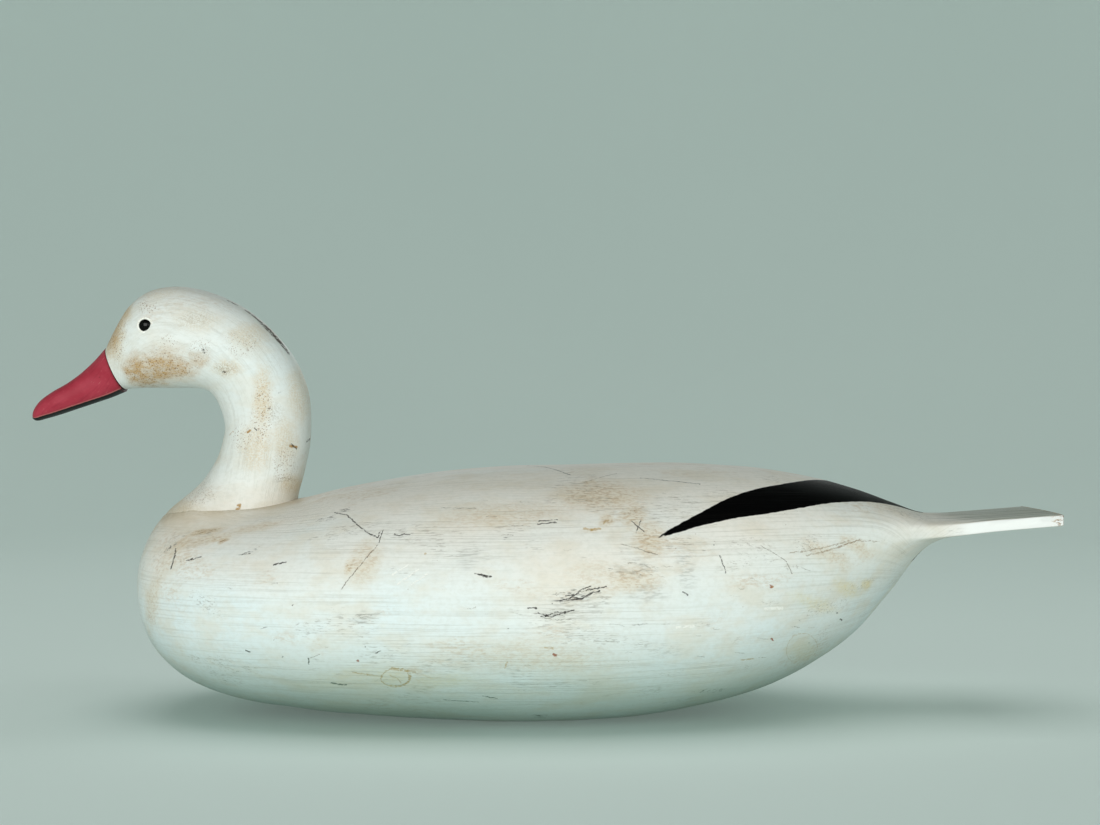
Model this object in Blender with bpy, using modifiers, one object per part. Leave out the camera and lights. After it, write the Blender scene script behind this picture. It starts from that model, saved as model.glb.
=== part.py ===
"""A hollow-carved wooden snow goose decoy, built the way a carver builds one.

Two hollowed cedar halves meet on a level seam and are pegged and glued. The head and neck are one
carved piece let into the breast, with a hardwood bill let into the face and glass eyes bedded in
putty. A flush lead weight and a ring and staple for the anchor line are fastened to the bottom.

Frame: +Z up, the bill points to -X, the flat bottom rests on Z = 0, Y = 0 is the plane of symmetry
and X = 0 is half way between the tip of the bill and the end of the tail.
"""

import math

import bmesh
import bpy
from mathutils import Matrix, Vector

MM = 0.001  # the sizes below are in millimetres; this turns them into metres
GAP = 0.3  # clearance between two pieces that touch
END_GAP = 1.0  # room left past the end of a peg, a dowel, a screw or a tenon
OVERSHOOT = 4.0  # how far a cutter starts outside the face it cuts into
CUTTER_REACH = 400.0  # past every side of the decoy

# ---------------------------------------------------------------- hollow body
SEAM_Z = 90.0  # level joint between the two halves
SIDE_WALL = 20.0  # thick enough beside the cavity for the pegs
ROOF_WALL = 16.0
FLOOR_WALL = 20.0
UPPER_CAVITY_X = (-140.0, 172.0)  # stops short of the solid block under the neck
LOWER_CAVITY_X = (-212.0, 158.0)
CAVITY_END_POWER = 3.0  # how square the cavity's ends are in plan; 2 would be an ellipse
CAVITY_POWER = 2.5  # how full the cavity's sections are

BODY_SECTIONS = 38
BODY_ARC_STEPS = 7  # steps along one quarter of a section
CAVITY_SECTIONS = 16
CAVITY_STEPS = 14
NECK_SECTIONS = 34
BILL_SECTIONS = 14
RIB_STEPS = 24  # points round a rib of the neck, head or bill
POLE_WIDTH = 0.5  # a section or rib with a smaller half width than this closes to a point
OVAL_SIDES = 40

# Body and tail. One row for each section that fixes the form, from the breast to the end of the
# tail: x, crown height, height of the edge's upper and lower corner, keel height, half width, and
# how full the curves above and below the edge are (2 is an ellipse, 1 a straight bevel, less than
# 1 hollow). A keel below 0 is planed off level with the bottom.
BODY_ROWS = (
    (-268.5, 89.5, 88.5, 87.5, 86.5, 0.0, 2.1, 2.2),
    (-264.5, 109.0, 87.5, 86.5, 61.5, 31.0, 2.1, 2.2),
    (-253.0, 126.3, 86.5, 85.5, 39.5, 57.0, 2.1, 2.2),
    (-230.0, 134.5, 84.5, 83.5, 21.0, 80.0, 2.1, 2.2),
    (-190.0, 137.8, 82.5, 81.5, 7.8, 98.5, 2.1, 2.2),
    (-160.0, 142.6, 81.4, 80.4, 3.6, 106.2, 2.1, 2.22),
    (-130.0, 150.3, 80.5, 79.5, 0.8, 112.0, 2.1, 2.25),
    (-50.0, 162.3, 80.5, 79.5, -3.5, 117.0, 2.1, 2.35),
    (30.0, 165.8, 82.5, 81.5, -3.5, 115.5, 2.1, 2.35),
    (90.0, 166.8, 88.5, 87.5, 1.5, 107.5, 2.1, 2.25),
    (140.0, 164.2, 98.0, 96.5, 12.6, 94.5, 2.1, 2.1),
    (180.0, 158.4, 111.0, 108.5, 28.2, 77.0, 2.0, 1.8),
    (215.0, 149.4, 121.0, 116.5, 51.8, 59.5, 1.9, 1.5),
    (240.0, 140.4, 125.0, 118.5, 79.5, 48.5, 1.8, 1.2),
    (259.0, 133.5, 126.0, 118.8, 104.5, 43.5, 1.7, 1.0),
    (275.0, 132.2, 127.5, 120.0, 115.5, 42.5, 1.7, 1.0),
    (302.0, 132.7, 130.5, 123.0, 122.0, 43.5, 2.0, 1.0),
    (343.5, 134.8, 134.2, 126.8, 126.5, 46.0, 2.0, 1.0),
)

# ---------------------------------------------------------------- neck, head and bill
# One row for each rib, from the seat in the breast round to the face: the rib's end on the throat
# side (x, z), its end on the nape side (x, z), its half width, and how full it is.
NECK_ROWS = (
    ((-253.0, 114.0), (-163.0, 114.0), 37.5, 2.1),
    ((-250.5, 129.0), (-163.5, 141.5), 37.0, 2.1),
    ((-245.5, 135.7), (-162.5, 147.5), 36.0, 2.1),
    ((-234.3, 146.7), (-160.5, 154.5), 34.0, 2.1),
    ((-224.7, 157.6), (-158.5, 162.0), 32.0, 2.1),
    ((-217.0, 170.0), (-156.4, 171.5), 30.0, 2.1),
    ((-213.3, 181.0), (-154.7, 181.0), 29.0, 2.1),
    ((-211.8, 190.3), (-154.0, 196.0), 28.5, 2.1),
    ((-213.4, 199.5), (-154.7, 209.0), 28.5, 2.1),
    ((-217.0, 208.5), (-157.6, 221.0), 28.5, 2.1),
    ((-221.5, 214.2), (-164.6, 236.5), 29.0, 2.1),
    ((-227.5, 216.8), (-177.0, 252.8), 30.0, 2.1),
    ((-236.0, 217.5), (-195.0, 269.3), 31.0, 2.1),
    ((-246.0, 217.6), (-220.0, 281.8), 31.5, 2.1),
    ((-257.0, 217.7), (-243.0, 286.5), 31.0, 2.1),
    ((-266.5, 217.5), (-262.4, 283.0), 28.5, 2.1),
    ((-273.0, 217.2), (-276.2, 273.0), 24.5, 2.1),
    ((-277.5, 217.0), (-285.7, 258.0), 20.0, 2.1),
    ((-279.8, 216.8), (-292.2, 244.9), 16.5, 2.1),
)

# One row for each rib of the bill, from the face to the tip: lower end, upper end, half width and
# fullness.
BILL_ROWS = (
    ((-280.1, 215.0), (-292.6, 244.8), 16.0, 2.1),
    ((-290.0, 210.9), (-300.5, 236.0), 13.5, 2.2),
    ((-301.0, 207.2), (-309.5, 227.6), 12.3, 2.3),
    ((-313.0, 203.2), (-319.0, 220.7), 11.7, 2.3),
    ((-325.0, 199.2), (-329.2, 214.8), 11.0, 2.3),
    ((-334.0, 196.6), (-337.6, 208.6), 9.0, 2.2),
    ((-340.0, 195.2), (-342.0, 202.4), 5.5, 2.1),
    ((-343.5, 196.6), (-343.5, 196.8), 0.0, 2.1),
)

TENON_RADIUS = 6.0  # round tenon of the bill, in the middle of the face
TENON_LENGTH = 20.0
TENON_ROOT = 6.0  # how far the tenon reaches into the bill's own wood

# ---------------------------------------------------------------- eyes
EYE_X = -259.5
EYE_Z = 258.5
EYE_RADIUS = 4.0
EYE_PROUD = 1.2  # how far the glass stands out of the head
EYE_WIRE_RADIUS = 0.8
EYE_WIRE_LENGTH = 9.0
PUTTY_RADIUS = 5.6
PUTTY_DEPTH = 4.6  # from the head's surface to the bottom of the putty
PUTTY_PROUD = 0.5
PUTTY_SHOULDER = 0.6  # how far its sides stay below the head's surface
EYE_STEPS = 12  # steps round the glass from its front to its back

# ---------------------------------------------------------------- neck joint
BLOCK_TOP_Z = NECK_ROWS[0][0][1]  # flat floor of the neck's seat
SEAT_TOP_Z = 165.0  # the seat's cutter follows the neck's ribs up to here, clear of the breast
SEAT_GAP = 1.4 * GAP  # growth of each rib: a slanting rib needs more than GAP across its own plane
BORE_START_Z = 80.0  # below the block, inside the hollow of the lower half
DOWEL_X = -205.0
DOWEL_RADIUS = 8.0
DOWEL_Z = (97.0, 157.0)
NECK_SCREW_X = {"front": -228.0, "rear": -180.0}
NECK_SCREW_TOP_Z = {"front": 132.0, "rear": 144.0}
NECK_SCREW_HEAD_Z = 98.0  # underside of the washer's seat
NECK_SCREW_RADIUS = 2.4
NECK_SCREW_POINT = 6.0  # length of its pointed end
NECK_SCREW_CHAMFER = 1.3
NECK_SCREW_HEAD = (4.6, 3.0)  # radius and height
WASHER_RADIUS = 7.0
WASHER_THICKNESS = 1.2
COUNTERBORE_RADIUS = 8.0

# ---------------------------------------------------------------- pegs in the seam
PEG_RADIUS = 4.0
PEG_LENGTH = 24.0
SIDE_PEG_X = {"front": -105.0, "rear": 70.0}
END_PEG_X = {"front": -240.0, "rear": 195.0}

# ---------------------------------------------------------------- ballast weight
BALLAST_X = 15.0
BALLAST_SIZE = (130.0, 45.0, 9.5)
BALLAST_RECESS = 0.4  # how far its face lies inside the bottom
BALLAST_SCREW_OFFSET = 44.0
BALLAST_SCREW_RADIUS = 2.0
BALLAST_SCREW_HEAD_RADIUS = 4.2
BALLAST_SCREW_TOP_Z = 17.0
BALLAST_SCREW_POINT = 5.0
BALLAST_SCREW_SINK = 0.3  # how far its head lies inside the weight's face

# ---------------------------------------------------------------- ring and staple
TIE_X = -127.0
TIE_Z = 6.0  # height of the ring's pivot in the staple's eye
TIE_RECESS_RADIUS = 16.0
TIE_RECESS_DEPTH = 11.0  # hollow in the bottom that the ring folds into
STAPLE_WIRE_RADIUS = 1.1
STAPLE_RADIUS = 3.1  # middle line of the staple's round end
STAPLE_TOP_Z = 18.0
RING_WIRE_RADIUS = 1.3
RING_RADIUS = 9.7  # middle line of the ring
RING_DROOP = math.radians(12.5)  # how far the ring slants down to the rear at rest
RING_STEPS = 32
STAPLE_STEPS = 12


# ---------------------------------------------------------------- finishes
# linear RGB colour, roughness, metallic
WHITE_PAINT = ((0.76, 0.78, 0.72), 0.55, 0.0)
RED_PAINT = ((0.37, 0.045, 0.07), 0.5, 0.0)
BLACK_GLASS = ((0.004, 0.003, 0.003), 0.06, 0.0)
PUTTY = ((0.7, 0.7, 0.6), 0.6, 0.0)
BARE_WOOD = ((0.5, 0.33, 0.18), 0.7, 0.0)
BRASS = ((0.5, 0.36, 0.16), 0.4, 1.0)
LEAD = ((0.16, 0.165, 0.17), 0.55, 0.6)


# ---------------------------------------------------------------- fair curves
def flat_row(row):
    """A row's numbers as one list, with its inner pairs opened out."""
    numbers = []
    for value in row:
        numbers.extend(value if isinstance(value, tuple) else (value,))
    return numbers


def spline_value(t, knots, values):
    """Centripetal Catmull-Rom value between the two middle knots."""
    t0, t1, t2, t3 = knots
    v0, v1, v2, v3 = values
    a1 = (t1 - t) / (t1 - t0) * v0 + (t - t0) / (t1 - t0) * v1
    a2 = (t2 - t) / (t2 - t1) * v1 + (t - t1) / (t2 - t1) * v2
    a3 = (t3 - t) / (t3 - t2) * v2 + (t - t2) / (t3 - t2) * v3
    b1 = (t2 - t) / (t2 - t0) * a1 + (t - t0) / (t2 - t0) * a2
    b2 = (t3 - t) / (t3 - t1) * a2 + (t - t1) / (t3 - t1) * a3
    return (t2 - t) / (t2 - t1) * b1 + (t - t1) / (t2 - t1) * b2


def fair(rows, count, place, before=None):
    """Count rows, evenly spaced along a smooth curve through the given ones.

    place picks the numbers of a row that say where its section is. before is the row that the curve
    would come from; without it the curve starts straight.
    """
    points = [flat_row(row) for row in rows]
    if before is None:
        before = [2 * a - b for a, b in zip(points[0], points[1])]
    after = [2 * a - b for a, b in zip(points[-1], points[-2])]
    points = [before, *points, after]
    knots = [0.0]
    for a, b in zip(points, points[1:]):
        knots.append(knots[-1] + math.sqrt(math.dist(place(a), place(b))))
    first, last = knots[1], knots[-2]
    faired = []
    for i in range(count):
        t = first + (last - first) * i / (count - 1)
        k = max(j for j in range(1, len(points) - 2) if knots[j] <= t + 1e-9)
        columns = zip(*points[k - 1 : k + 3])
        faired.append([spline_value(t, knots[k - 1 : k + 3], values) for values in columns])
    return faired


def arc(power, steps):
    """(across, along) pairs of one quarter of a superellipse, from its top to its side."""
    pairs = []
    for i in range(steps + 1):
        angle = math.pi / 2 * i / steps
        across = max(math.sin(angle), 0.0) ** (2 / power)
        along = max(math.cos(angle), 0.0) ** (2 / power)
        pairs.append((across, along))
    return pairs


# ---------------------------------------------------------------- meshes
def loft(name, rings, collection):
    """A closed solid through rings of points. A ring of one point is a pole; an end ring is capped."""
    mesh = bpy.data.meshes.new(name)
    bm = bmesh.new()
    rows = [[bm.verts.new(Vector(p) * MM) for p in ring] for ring in rings]
    for a, b in zip(rows, rows[1:]):
        count = max(len(a), len(b))
        for i in range(count):
            j = (i + 1) % count
            if len(a) == 1:
                bm.faces.new((a[0], b[j], b[i]))
            elif len(b) == 1:
                bm.faces.new((a[i], a[j], b[0]))
            else:
                bm.faces.new((a[i], a[j], b[j], b[i]))
    for ring in (rows[0], rows[-1]):
        if len(ring) > 1:
            bm.faces.new(ring)
    bmesh.ops.triangulate(bm, faces=bm.faces)
    bmesh.ops.recalc_face_normals(bm, faces=bm.faces)
    bm.to_mesh(mesh)
    bm.free()
    return add_object(name, mesh, collection)


def add_object(name, data, collection):
    obj = bpy.data.objects.new(name, data)
    collection.objects.link(obj)
    if collection is CUTTERS:
        obj.hide_render = True
        obj.display_type = "WIRE"
    return obj


def smooth(obj, angle=35.0):
    obj.data.shade_smooth()
    obj.data.set_sharp_from_angle(angle=math.radians(angle))


def box(name, low, high, collection):
    """An axis-aligned box between two corners."""
    size = [b - a for a, b in zip(low, high)]
    middle = [(a + b) / 2 for a, b in zip(low, high)]
    matrix = Matrix.Translation(Vector(middle) * MM) @ Matrix.Diagonal([s * MM for s in size] + [1])
    mesh = bpy.data.meshes.new(name)
    bm = bmesh.new()
    bmesh.ops.create_cube(bm, size=1.0, matrix=matrix)
    bm.to_mesh(mesh)
    bm.free()
    return add_object(name, mesh, collection)


def rod(name, start, end, radius, collection, sides=24):
    """A round rod between two points."""
    start, end = Vector(start), Vector(end)
    along = end - start
    turn = along.to_track_quat("Z", "Y").to_matrix().to_4x4()
    matrix = Matrix.Translation((start + end) / 2 * MM) @ turn
    mesh = bpy.data.meshes.new(name)
    bm = bmesh.new()
    bmesh.ops.create_cone(
        bm,
        cap_ends=True,
        segments=sides,
        radius1=radius * MM,
        radius2=radius * MM,
        depth=along.length * MM,
        matrix=matrix,
    )
    bm.to_mesh(mesh)
    bm.free()
    return add_object(name, mesh, collection)


def turned(name, profile, collection, place, axis=(0, 0, 1), sides=24):
    """A turned piece: profile is (radius, height) points down its outer side, from top to bottom."""
    mesh = bpy.data.meshes.new(name)
    points = [(radius * MM, 0.0, height * MM) for radius, height in profile]
    edges = [(i, i + 1) for i in range(len(points) - 1)]
    mesh.from_pydata(points, edges, [])
    obj = add_object(name, mesh, collection)
    obj.location = Vector(place) * MM
    obj.rotation_euler = Vector(axis).to_track_quat("Z", "Y").to_euler()
    screw = obj.modifiers.new("turn", "SCREW")
    screw.steps = sides
    screw.render_steps = sides
    screw.use_merge_vertices = True
    screw.merge_threshold = 0.00001
    screw.use_smooth_shade = False
    return obj


def wire(name, points, radius, collection, cyclic=False):
    """A bent wire along a list of points."""
    curve = bpy.data.curves.new(name, "CURVE")
    curve.dimensions = "3D"
    curve.bevel_depth = radius * MM
    curve.bevel_resolution = 2
    curve.use_fill_caps = not cyclic
    spline = curve.splines.new("POLY")
    spline.points.add(len(points) - 1)
    for point, place in zip(spline.points, points):
        point.co = (*(Vector(place) * MM), 1.0)
    spline.use_cyclic_u = cyclic
    return add_object(name, curve, collection)


def boolean(target, others, operation="DIFFERENCE"):
    for other in others:
        modifier = target.modifiers.new(other.name, "BOOLEAN")
        modifier.operation = operation
        modifier.object = other


def paint(obj, colour, roughness, metallic):
    """Gives a piece its own material: colour is linear RGB."""
    material = bpy.data.materials.new(obj.name)
    material.use_nodes = True
    shader = material.node_tree.nodes["Principled BSDF"]
    shader.inputs["Base Color"].default_value = (*colour, 1.0)
    shader.inputs["Roughness"].default_value = roughness
    shader.inputs["Metallic"].default_value = metallic
    obj.data.materials.append(material)


# ---------------------------------------------------------------- body
def section_place(row):
    """A section's place, by its distance across as well as along, so that the breast is round."""
    return (row[0], row[5])


def body_rows():
    """Faired body rows. They start as if from the second row's mirror image, across the breast."""
    mirrored = list(BODY_ROWS[1])
    mirrored[5] *= -1
    return fair(BODY_ROWS, BODY_SECTIONS, section_place, mirrored)


def body_ring(row):
    """The section of the body at one row, as points all the way round."""
    x, crown, edge_top, edge_bottom, keel, half_width, upper, lower = row
    if half_width < POLE_WIDTH:
        return [(x, 0.0, (crown + keel) / 2)]
    rise, drop = crown - edge_top, edge_bottom - keel
    above = [(half_width * a, edge_top + rise * b) for a, b in arc(upper, BODY_ARC_STEPS)]
    below = [(half_width * a, edge_bottom - drop * b) for a, b in arc(lower, BODY_ARC_STEPS)]
    side = [*above, *reversed(below)]
    other_side = [(-y, z) for y, z in reversed(side[1:-1])]
    return [(x, y, max(z, 0.0)) for y, z in side + other_side]


def body_at(x):
    """The body's row at x, between the two faired rows beside it."""
    rows = body_rows()
    for a, b in zip(rows, rows[1:]):
        if a[0] <= x <= b[0]:
            part = (x - a[0]) / (b[0] - a[0])
            return [p + (q - p) * part for p, q in zip(a, b)]
    raise ValueError(f"the body has no section at {x}")


def cavity(name, span, upwards):
    """The hollow on one side of the seam, open at the seam, as a cutter."""
    low, high = span
    overshoot = OVERSHOOT if upwards else -OVERSHOOT
    rings = []
    for i in range(CAVITY_SECTIONS):
        angle = math.pi * (i + 0.5) / CAVITY_SECTIONS
        x = (low + high) / 2 - (high - low) / 2 * math.cos(angle)
        u = abs(2 * (x - low) / (high - low) - 1)
        fullness = (1 - u**CAVITY_END_POWER) ** (1 / CAVITY_END_POWER)
        row = body_at(x)
        limit = row[1] - ROOF_WALL if upwards else max(row[4], 0.0) + FLOOR_WALL
        half_width = (row[5] - SIDE_WALL) * fullness
        depth = (limit - SEAM_Z) * fullness
        ring = [(x, -half_width, SEAM_Z - overshoot)]
        for k in range(CAVITY_STEPS + 1):
            turn = math.pi * k / CAVITY_STEPS
            across = math.copysign(abs(math.cos(turn)) ** (2 / CAVITY_POWER), math.cos(turn))
            deep = abs(math.sin(turn)) ** (2 / CAVITY_POWER)
            ring.append((x, -half_width * across, SEAM_Z + depth * deep))
        ring.append((x, half_width, SEAM_Z - overshoot))
        rings.append(ring)
    return loft(name, rings, CUTTERS)


def peg_places():
    """Where the six pegs stand in the seam: name to (x, y)."""
    places = {end: (x, 0.0) for end, x in END_PEG_X.items()}
    for end, x in SIDE_PEG_X.items():
        y = body_at(x)[5] - SIDE_WALL / 2
        places["left_" + end] = (x, -y)
        places["right_" + end] = (x, y)
    return places


# ---------------------------------------------------------------- ribs of the neck, head and bill
def rib_place(rib):
    """The two ends of a rib."""
    return rib[:4]


def neck_ribs():
    return fair(NECK_ROWS, NECK_SECTIONS, rib_place)


def rib_ring(rib, grow=0.0):
    """Points round one rib, a superellipse in the plane through the rib's ends and along Y."""
    x0, z0, x1, z1, half_width, power = rib
    if half_width < POLE_WIDTH:
        return [((x0 + x1) / 2, 0.0, (z0 + z1) / 2)]
    middle = Vector(((x0 + x1) / 2, 0.0, (z0 + z1) / 2))
    reach = Vector(((x1 - x0) / 2, 0.0, (z1 - z0) / 2))
    reach = reach * (reach.length + grow) / reach.length
    ring = []
    for k in range(RIB_STEPS):
        angle = 2 * math.pi * k / RIB_STEPS
        c, s = math.cos(angle), math.sin(angle)
        along = math.copysign(abs(c) ** (2 / power), c)
        across = math.copysign(abs(s) ** (2 / power), s)
        point = middle + reach * along
        ring.append((point.x, (half_width + grow) * across, point.z))
    return ring


def head_side(x, z):
    """Half width of the head at a place seen from the side."""
    best = None
    for rib in neck_ribs():
        x0, z0, x1, z1, half_width, power = rib
        length = math.hypot(x1 - x0, z1 - z0)
        part = ((x - x0) * (x1 - x0) + (z - z0) * (z1 - z0)) / length**2
        away = abs((x - x0) * (z1 - z0) - (z - z0) * (x1 - x0)) / length
        inside = 1 - min(abs(2 * part - 1), 1.0) ** power
        if best is None or away < best[0]:
            best = (away, half_width * inside ** (1 / power))
    return best[1]


def build_head(parts):
    """The head and neck, and the cutter for its seat in the breast."""
    ribs = neck_ribs()
    head = loft("head_and_neck", [rib_ring(rib) for rib in ribs], parts)
    seat_ribs = [rib for rib in ribs if min(rib[1], rib[3]) < SEAT_TOP_Z]
    seat_rings = [rib_ring(rib, grow=SEAT_GAP) for rib in seat_ribs]
    floor_ring = [(x, y, z - GAP) for x, y, z in seat_rings[0]]
    seat = loft("neck_seat_cut", [floor_ring, *seat_rings[1:]], CUTTERS)
    return head, seat


def bill_axis():
    """The middle of the face, and the direction from there into the head."""
    x0, z0, x1, z1 = flat_row(BILL_ROWS[0])[:4]
    middle = Vector(((x0 + x1) / 2, 0.0, (z0 + z1) / 2))
    inward = Vector((z1 - z0, 0.0, x0 - x1)).normalized()
    return middle, inward


def build_bill(parts):
    """The bill with its tenon, and the cutter for the mortise."""
    ribs = fair(BILL_ROWS, BILL_SECTIONS, rib_place)
    bill = loft("bill", [rib_ring(rib) for rib in ribs], parts)
    middle, inward = bill_axis()
    root, tip = middle - inward * TENON_ROOT, middle + inward * TENON_LENGTH
    tenon = rod("tenon", root, tip, TENON_RADIUS, CUTTERS)
    boolean(bill, [tenon], "UNION")
    mortise_start, mortise_end = middle - inward * OVERSHOOT, tip + inward * END_GAP
    mortise = rod("mortise", mortise_start, mortise_end, TENON_RADIUS + GAP, CUTTERS)
    return bill, mortise


# ---------------------------------------------------------------- eyes
def build_eye(side, sign, parts):
    """A glass eye on its wire and the putty ring round it. Returns them and the socket's cutter."""
    surface = head_side(EYE_X, EYE_Z)
    place = (EYE_X, sign * surface, EYE_Z)
    axis = (0, sign, 0)
    centre = EYE_PROUD - EYE_RADIUS
    glass = []
    for k in range(EYE_STEPS - 1):
        angle = math.pi * k / EYE_STEPS
        glass.append((EYE_RADIUS * math.sin(angle), centre + EYE_RADIUS * math.cos(angle)))
    neck_depth = centre - math.sqrt(EYE_RADIUS**2 - EYE_WIRE_RADIUS**2)
    wire_end = centre - EYE_RADIUS - EYE_WIRE_LENGTH
    glass += [(EYE_WIRE_RADIUS, neck_depth), (EYE_WIRE_RADIUS, wire_end), (0.0, wire_end)]
    eye = turned("eye_" + side, glass, parts, place, axis)
    inner = EYE_RADIUS + GAP
    rim = (inner + PUTTY_RADIUS) / 2
    ring = [
        (rim, PUTTY_PROUD),
        (PUTTY_RADIUS, -PUTTY_SHOULDER),
        (PUTTY_RADIUS, -PUTTY_DEPTH),
        (inner, -PUTTY_DEPTH),
        (inner, -PUTTY_SHOULDER / 2),
        (rim, PUTTY_PROUD),
    ]
    putty = turned("eye_putty_" + side, ring, parts, place, axis)
    outward = Vector(axis)
    middle = Vector(place)
    deep = middle - outward * (EYE_RADIUS * 2 + END_GAP)
    proud = middle + outward * OVERSHOOT
    socket = rod("eye_socket_" + side, deep, proud, PUTTY_RADIUS + GAP, CUTTERS)
    hole_end = middle + outward * (wire_end - END_GAP)
    hole_radius = EYE_WIRE_RADIUS + GAP
    wire_hole = rod("eye_wire_hole_" + side, hole_end, middle, hole_radius, CUTTERS, sides=12)
    return eye, putty, [socket, wire_hole]


# ---------------------------------------------------------------- fasteners
def neck_screw(end, parts):
    """The screw up through the block into the neck, its washer, and the cutters for both."""
    x = NECK_SCREW_X[end]
    top = NECK_SCREW_TOP_Z[end]
    head_radius, head_height = NECK_SCREW_HEAD
    under = NECK_SCREW_HEAD_Z - WASHER_THICKNESS - GAP
    profile = [
        (0.0, top - under),
        (NECK_SCREW_RADIUS, top - under - NECK_SCREW_POINT),
        (NECK_SCREW_RADIUS, 0.0),
        (head_radius, 0.0),
        (head_radius, NECK_SCREW_CHAMFER - head_height),
        (head_radius - NECK_SCREW_CHAMFER, -head_height),
        (0.0, -head_height),
    ]
    screw = turned("neck_screw_" + end, profile, parts, (x, 0, under - GAP))
    hole = NECK_SCREW_RADIUS + GAP
    ring = [
        (hole, WASHER_THICKNESS),
        (WASHER_RADIUS, WASHER_THICKNESS),
        (WASHER_RADIUS, 0.0),
        (hole, 0.0),
        (hole, WASHER_THICKNESS),
    ]
    washer = turned("neck_washer_" + end, ring, parts, (x, 0, under))
    start = (x, 0, BORE_START_Z)
    bore = rod("neck_bore_" + end, start, (x, 0, top + END_GAP), hole, CUTTERS)
    seat = (x, 0, NECK_SCREW_HEAD_Z)
    counterbore = rod("counterbore_" + end, start, seat, COUNTERBORE_RADIUS, CUTTERS)
    return screw, washer, bore, counterbore


def build_ballast(parts):
    """The lead weight with its two screws, and the cutters that let them into the bottom."""
    length, width, height = BALLAST_SIZE
    low = BALLAST_RECESS
    weight = oval("ballast_weight", length, width, (low, low + height), parts)
    recess_z = (-OVERSHOOT, low + height + GAP)
    recess = oval("ballast_recess", length + 2 * GAP, width + 2 * GAP, recess_z, CUTTERS)
    screws, clearances, pilots = [], [], []
    for end, sign in (("front", -1), ("rear", 1)):
        x = BALLAST_X + sign * BALLAST_SCREW_OFFSET
        sink = BALLAST_SCREW_HEAD_RADIUS - BALLAST_SCREW_RADIUS
        head_z = low + BALLAST_SCREW_SINK
        kinds = (("ballast_screw_", 0.0, head_z), ("ballast_screw_cut_", GAP, -OVERSHOOT))
        for kind, grow, bottom in kinds:
            profile = [
                (0.0, BALLAST_SCREW_TOP_Z + grow),
                (BALLAST_SCREW_RADIUS + grow, BALLAST_SCREW_TOP_Z - BALLAST_SCREW_POINT + grow),
                (BALLAST_SCREW_RADIUS + grow, head_z + sink + grow),
                (BALLAST_SCREW_HEAD_RADIUS + grow, head_z + grow),
                (BALLAST_SCREW_HEAD_RADIUS + grow, bottom),
                (0.0, bottom),
            ]
            if grow == 0.0:
                del profile[4]
            collection = CUTTERS if grow else parts
            piece = turned(kind + end, profile, collection, (x, 0, 0), sides=16)
            (clearances if grow else screws).append(piece)
    boolean(weight, clearances)
    return weight, screws, recess, clearances


def oval(name, length, width, span_z, collection):
    """A flat-bottomed oval slug under the middle of the body."""
    bottom, top = span_z
    mesh = bpy.data.meshes.new(name)
    bm = bmesh.new()
    middle = Vector((BALLAST_X, 0, (bottom + top) / 2)) * MM
    size = Matrix.Diagonal((length / 2 * MM, width / 2 * MM, (top - bottom) * MM, 1))
    matrix = Matrix.Translation(middle) @ size
    sizes = {"radius1": 1, "radius2": 1, "depth": 1}
    bmesh.ops.create_cone(bm, cap_ends=True, segments=OVAL_SIDES, matrix=matrix, **sizes)
    bm.to_mesh(mesh)
    bm.free()
    return add_object(name, mesh, collection)


def build_tie(parts):
    """The ring on its empty at the pivot, the staple that holds it, and what is cut for them."""
    pivot = bpy.data.objects.new("line_ring_pivot", None)
    pivot.location = Vector((TIE_X, 0, TIE_Z)) * MM
    parts.objects.link(pivot)
    circle = []
    for k in range(RING_STEPS):
        angle = 2 * math.pi * k / RING_STEPS
        out = RING_RADIUS * (1 - math.cos(angle))
        circle.append((out, RING_RADIUS * math.sin(angle), 0.0))
    ring = wire("line_tie_ring", circle, RING_WIRE_RADIUS, parts, cyclic=True)
    ring.parent = pivot
    ring.rotation_euler = (0.0, RING_DROOP, 0.0)
    bend = []
    for k in range(STAPLE_STEPS + 1):
        angle = math.pi * k / STAPLE_STEPS
        x = TIE_X - STAPLE_RADIUS * math.cos(angle)
        bend.append((x, 0.0, TIE_Z - STAPLE_RADIUS * math.sin(angle)))
    front = (TIE_X - STAPLE_RADIUS, 0.0, STAPLE_TOP_Z)
    rear = (TIE_X + STAPLE_RADIUS, 0.0, STAPLE_TOP_Z)
    staple = wire("line_tie_staple", [front, *bend, rear], STAPLE_WIRE_RADIUS, parts)
    middle = TIE_X + RING_RADIUS - STAPLE_RADIUS / 2
    hollow = (middle, 0, -OVERSHOOT), (middle, 0, TIE_RECESS_DEPTH), TIE_RECESS_RADIUS
    holes = [rod("tie_recess", *hollow, CUTTERS, sides=32)]
    for side, top in (("front", front), ("rear", rear)):
        foot = (top[0], 0.0, -OVERSHOOT)
        end = (top[0], 0.0, STAPLE_TOP_Z + END_GAP)
        hole_radius = STAPLE_WIRE_RADIUS + GAP
        holes.append(rod("staple_hole_" + side, foot, end, hole_radius, CUTTERS, sides=12))
    return ring, staple, holes


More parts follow.
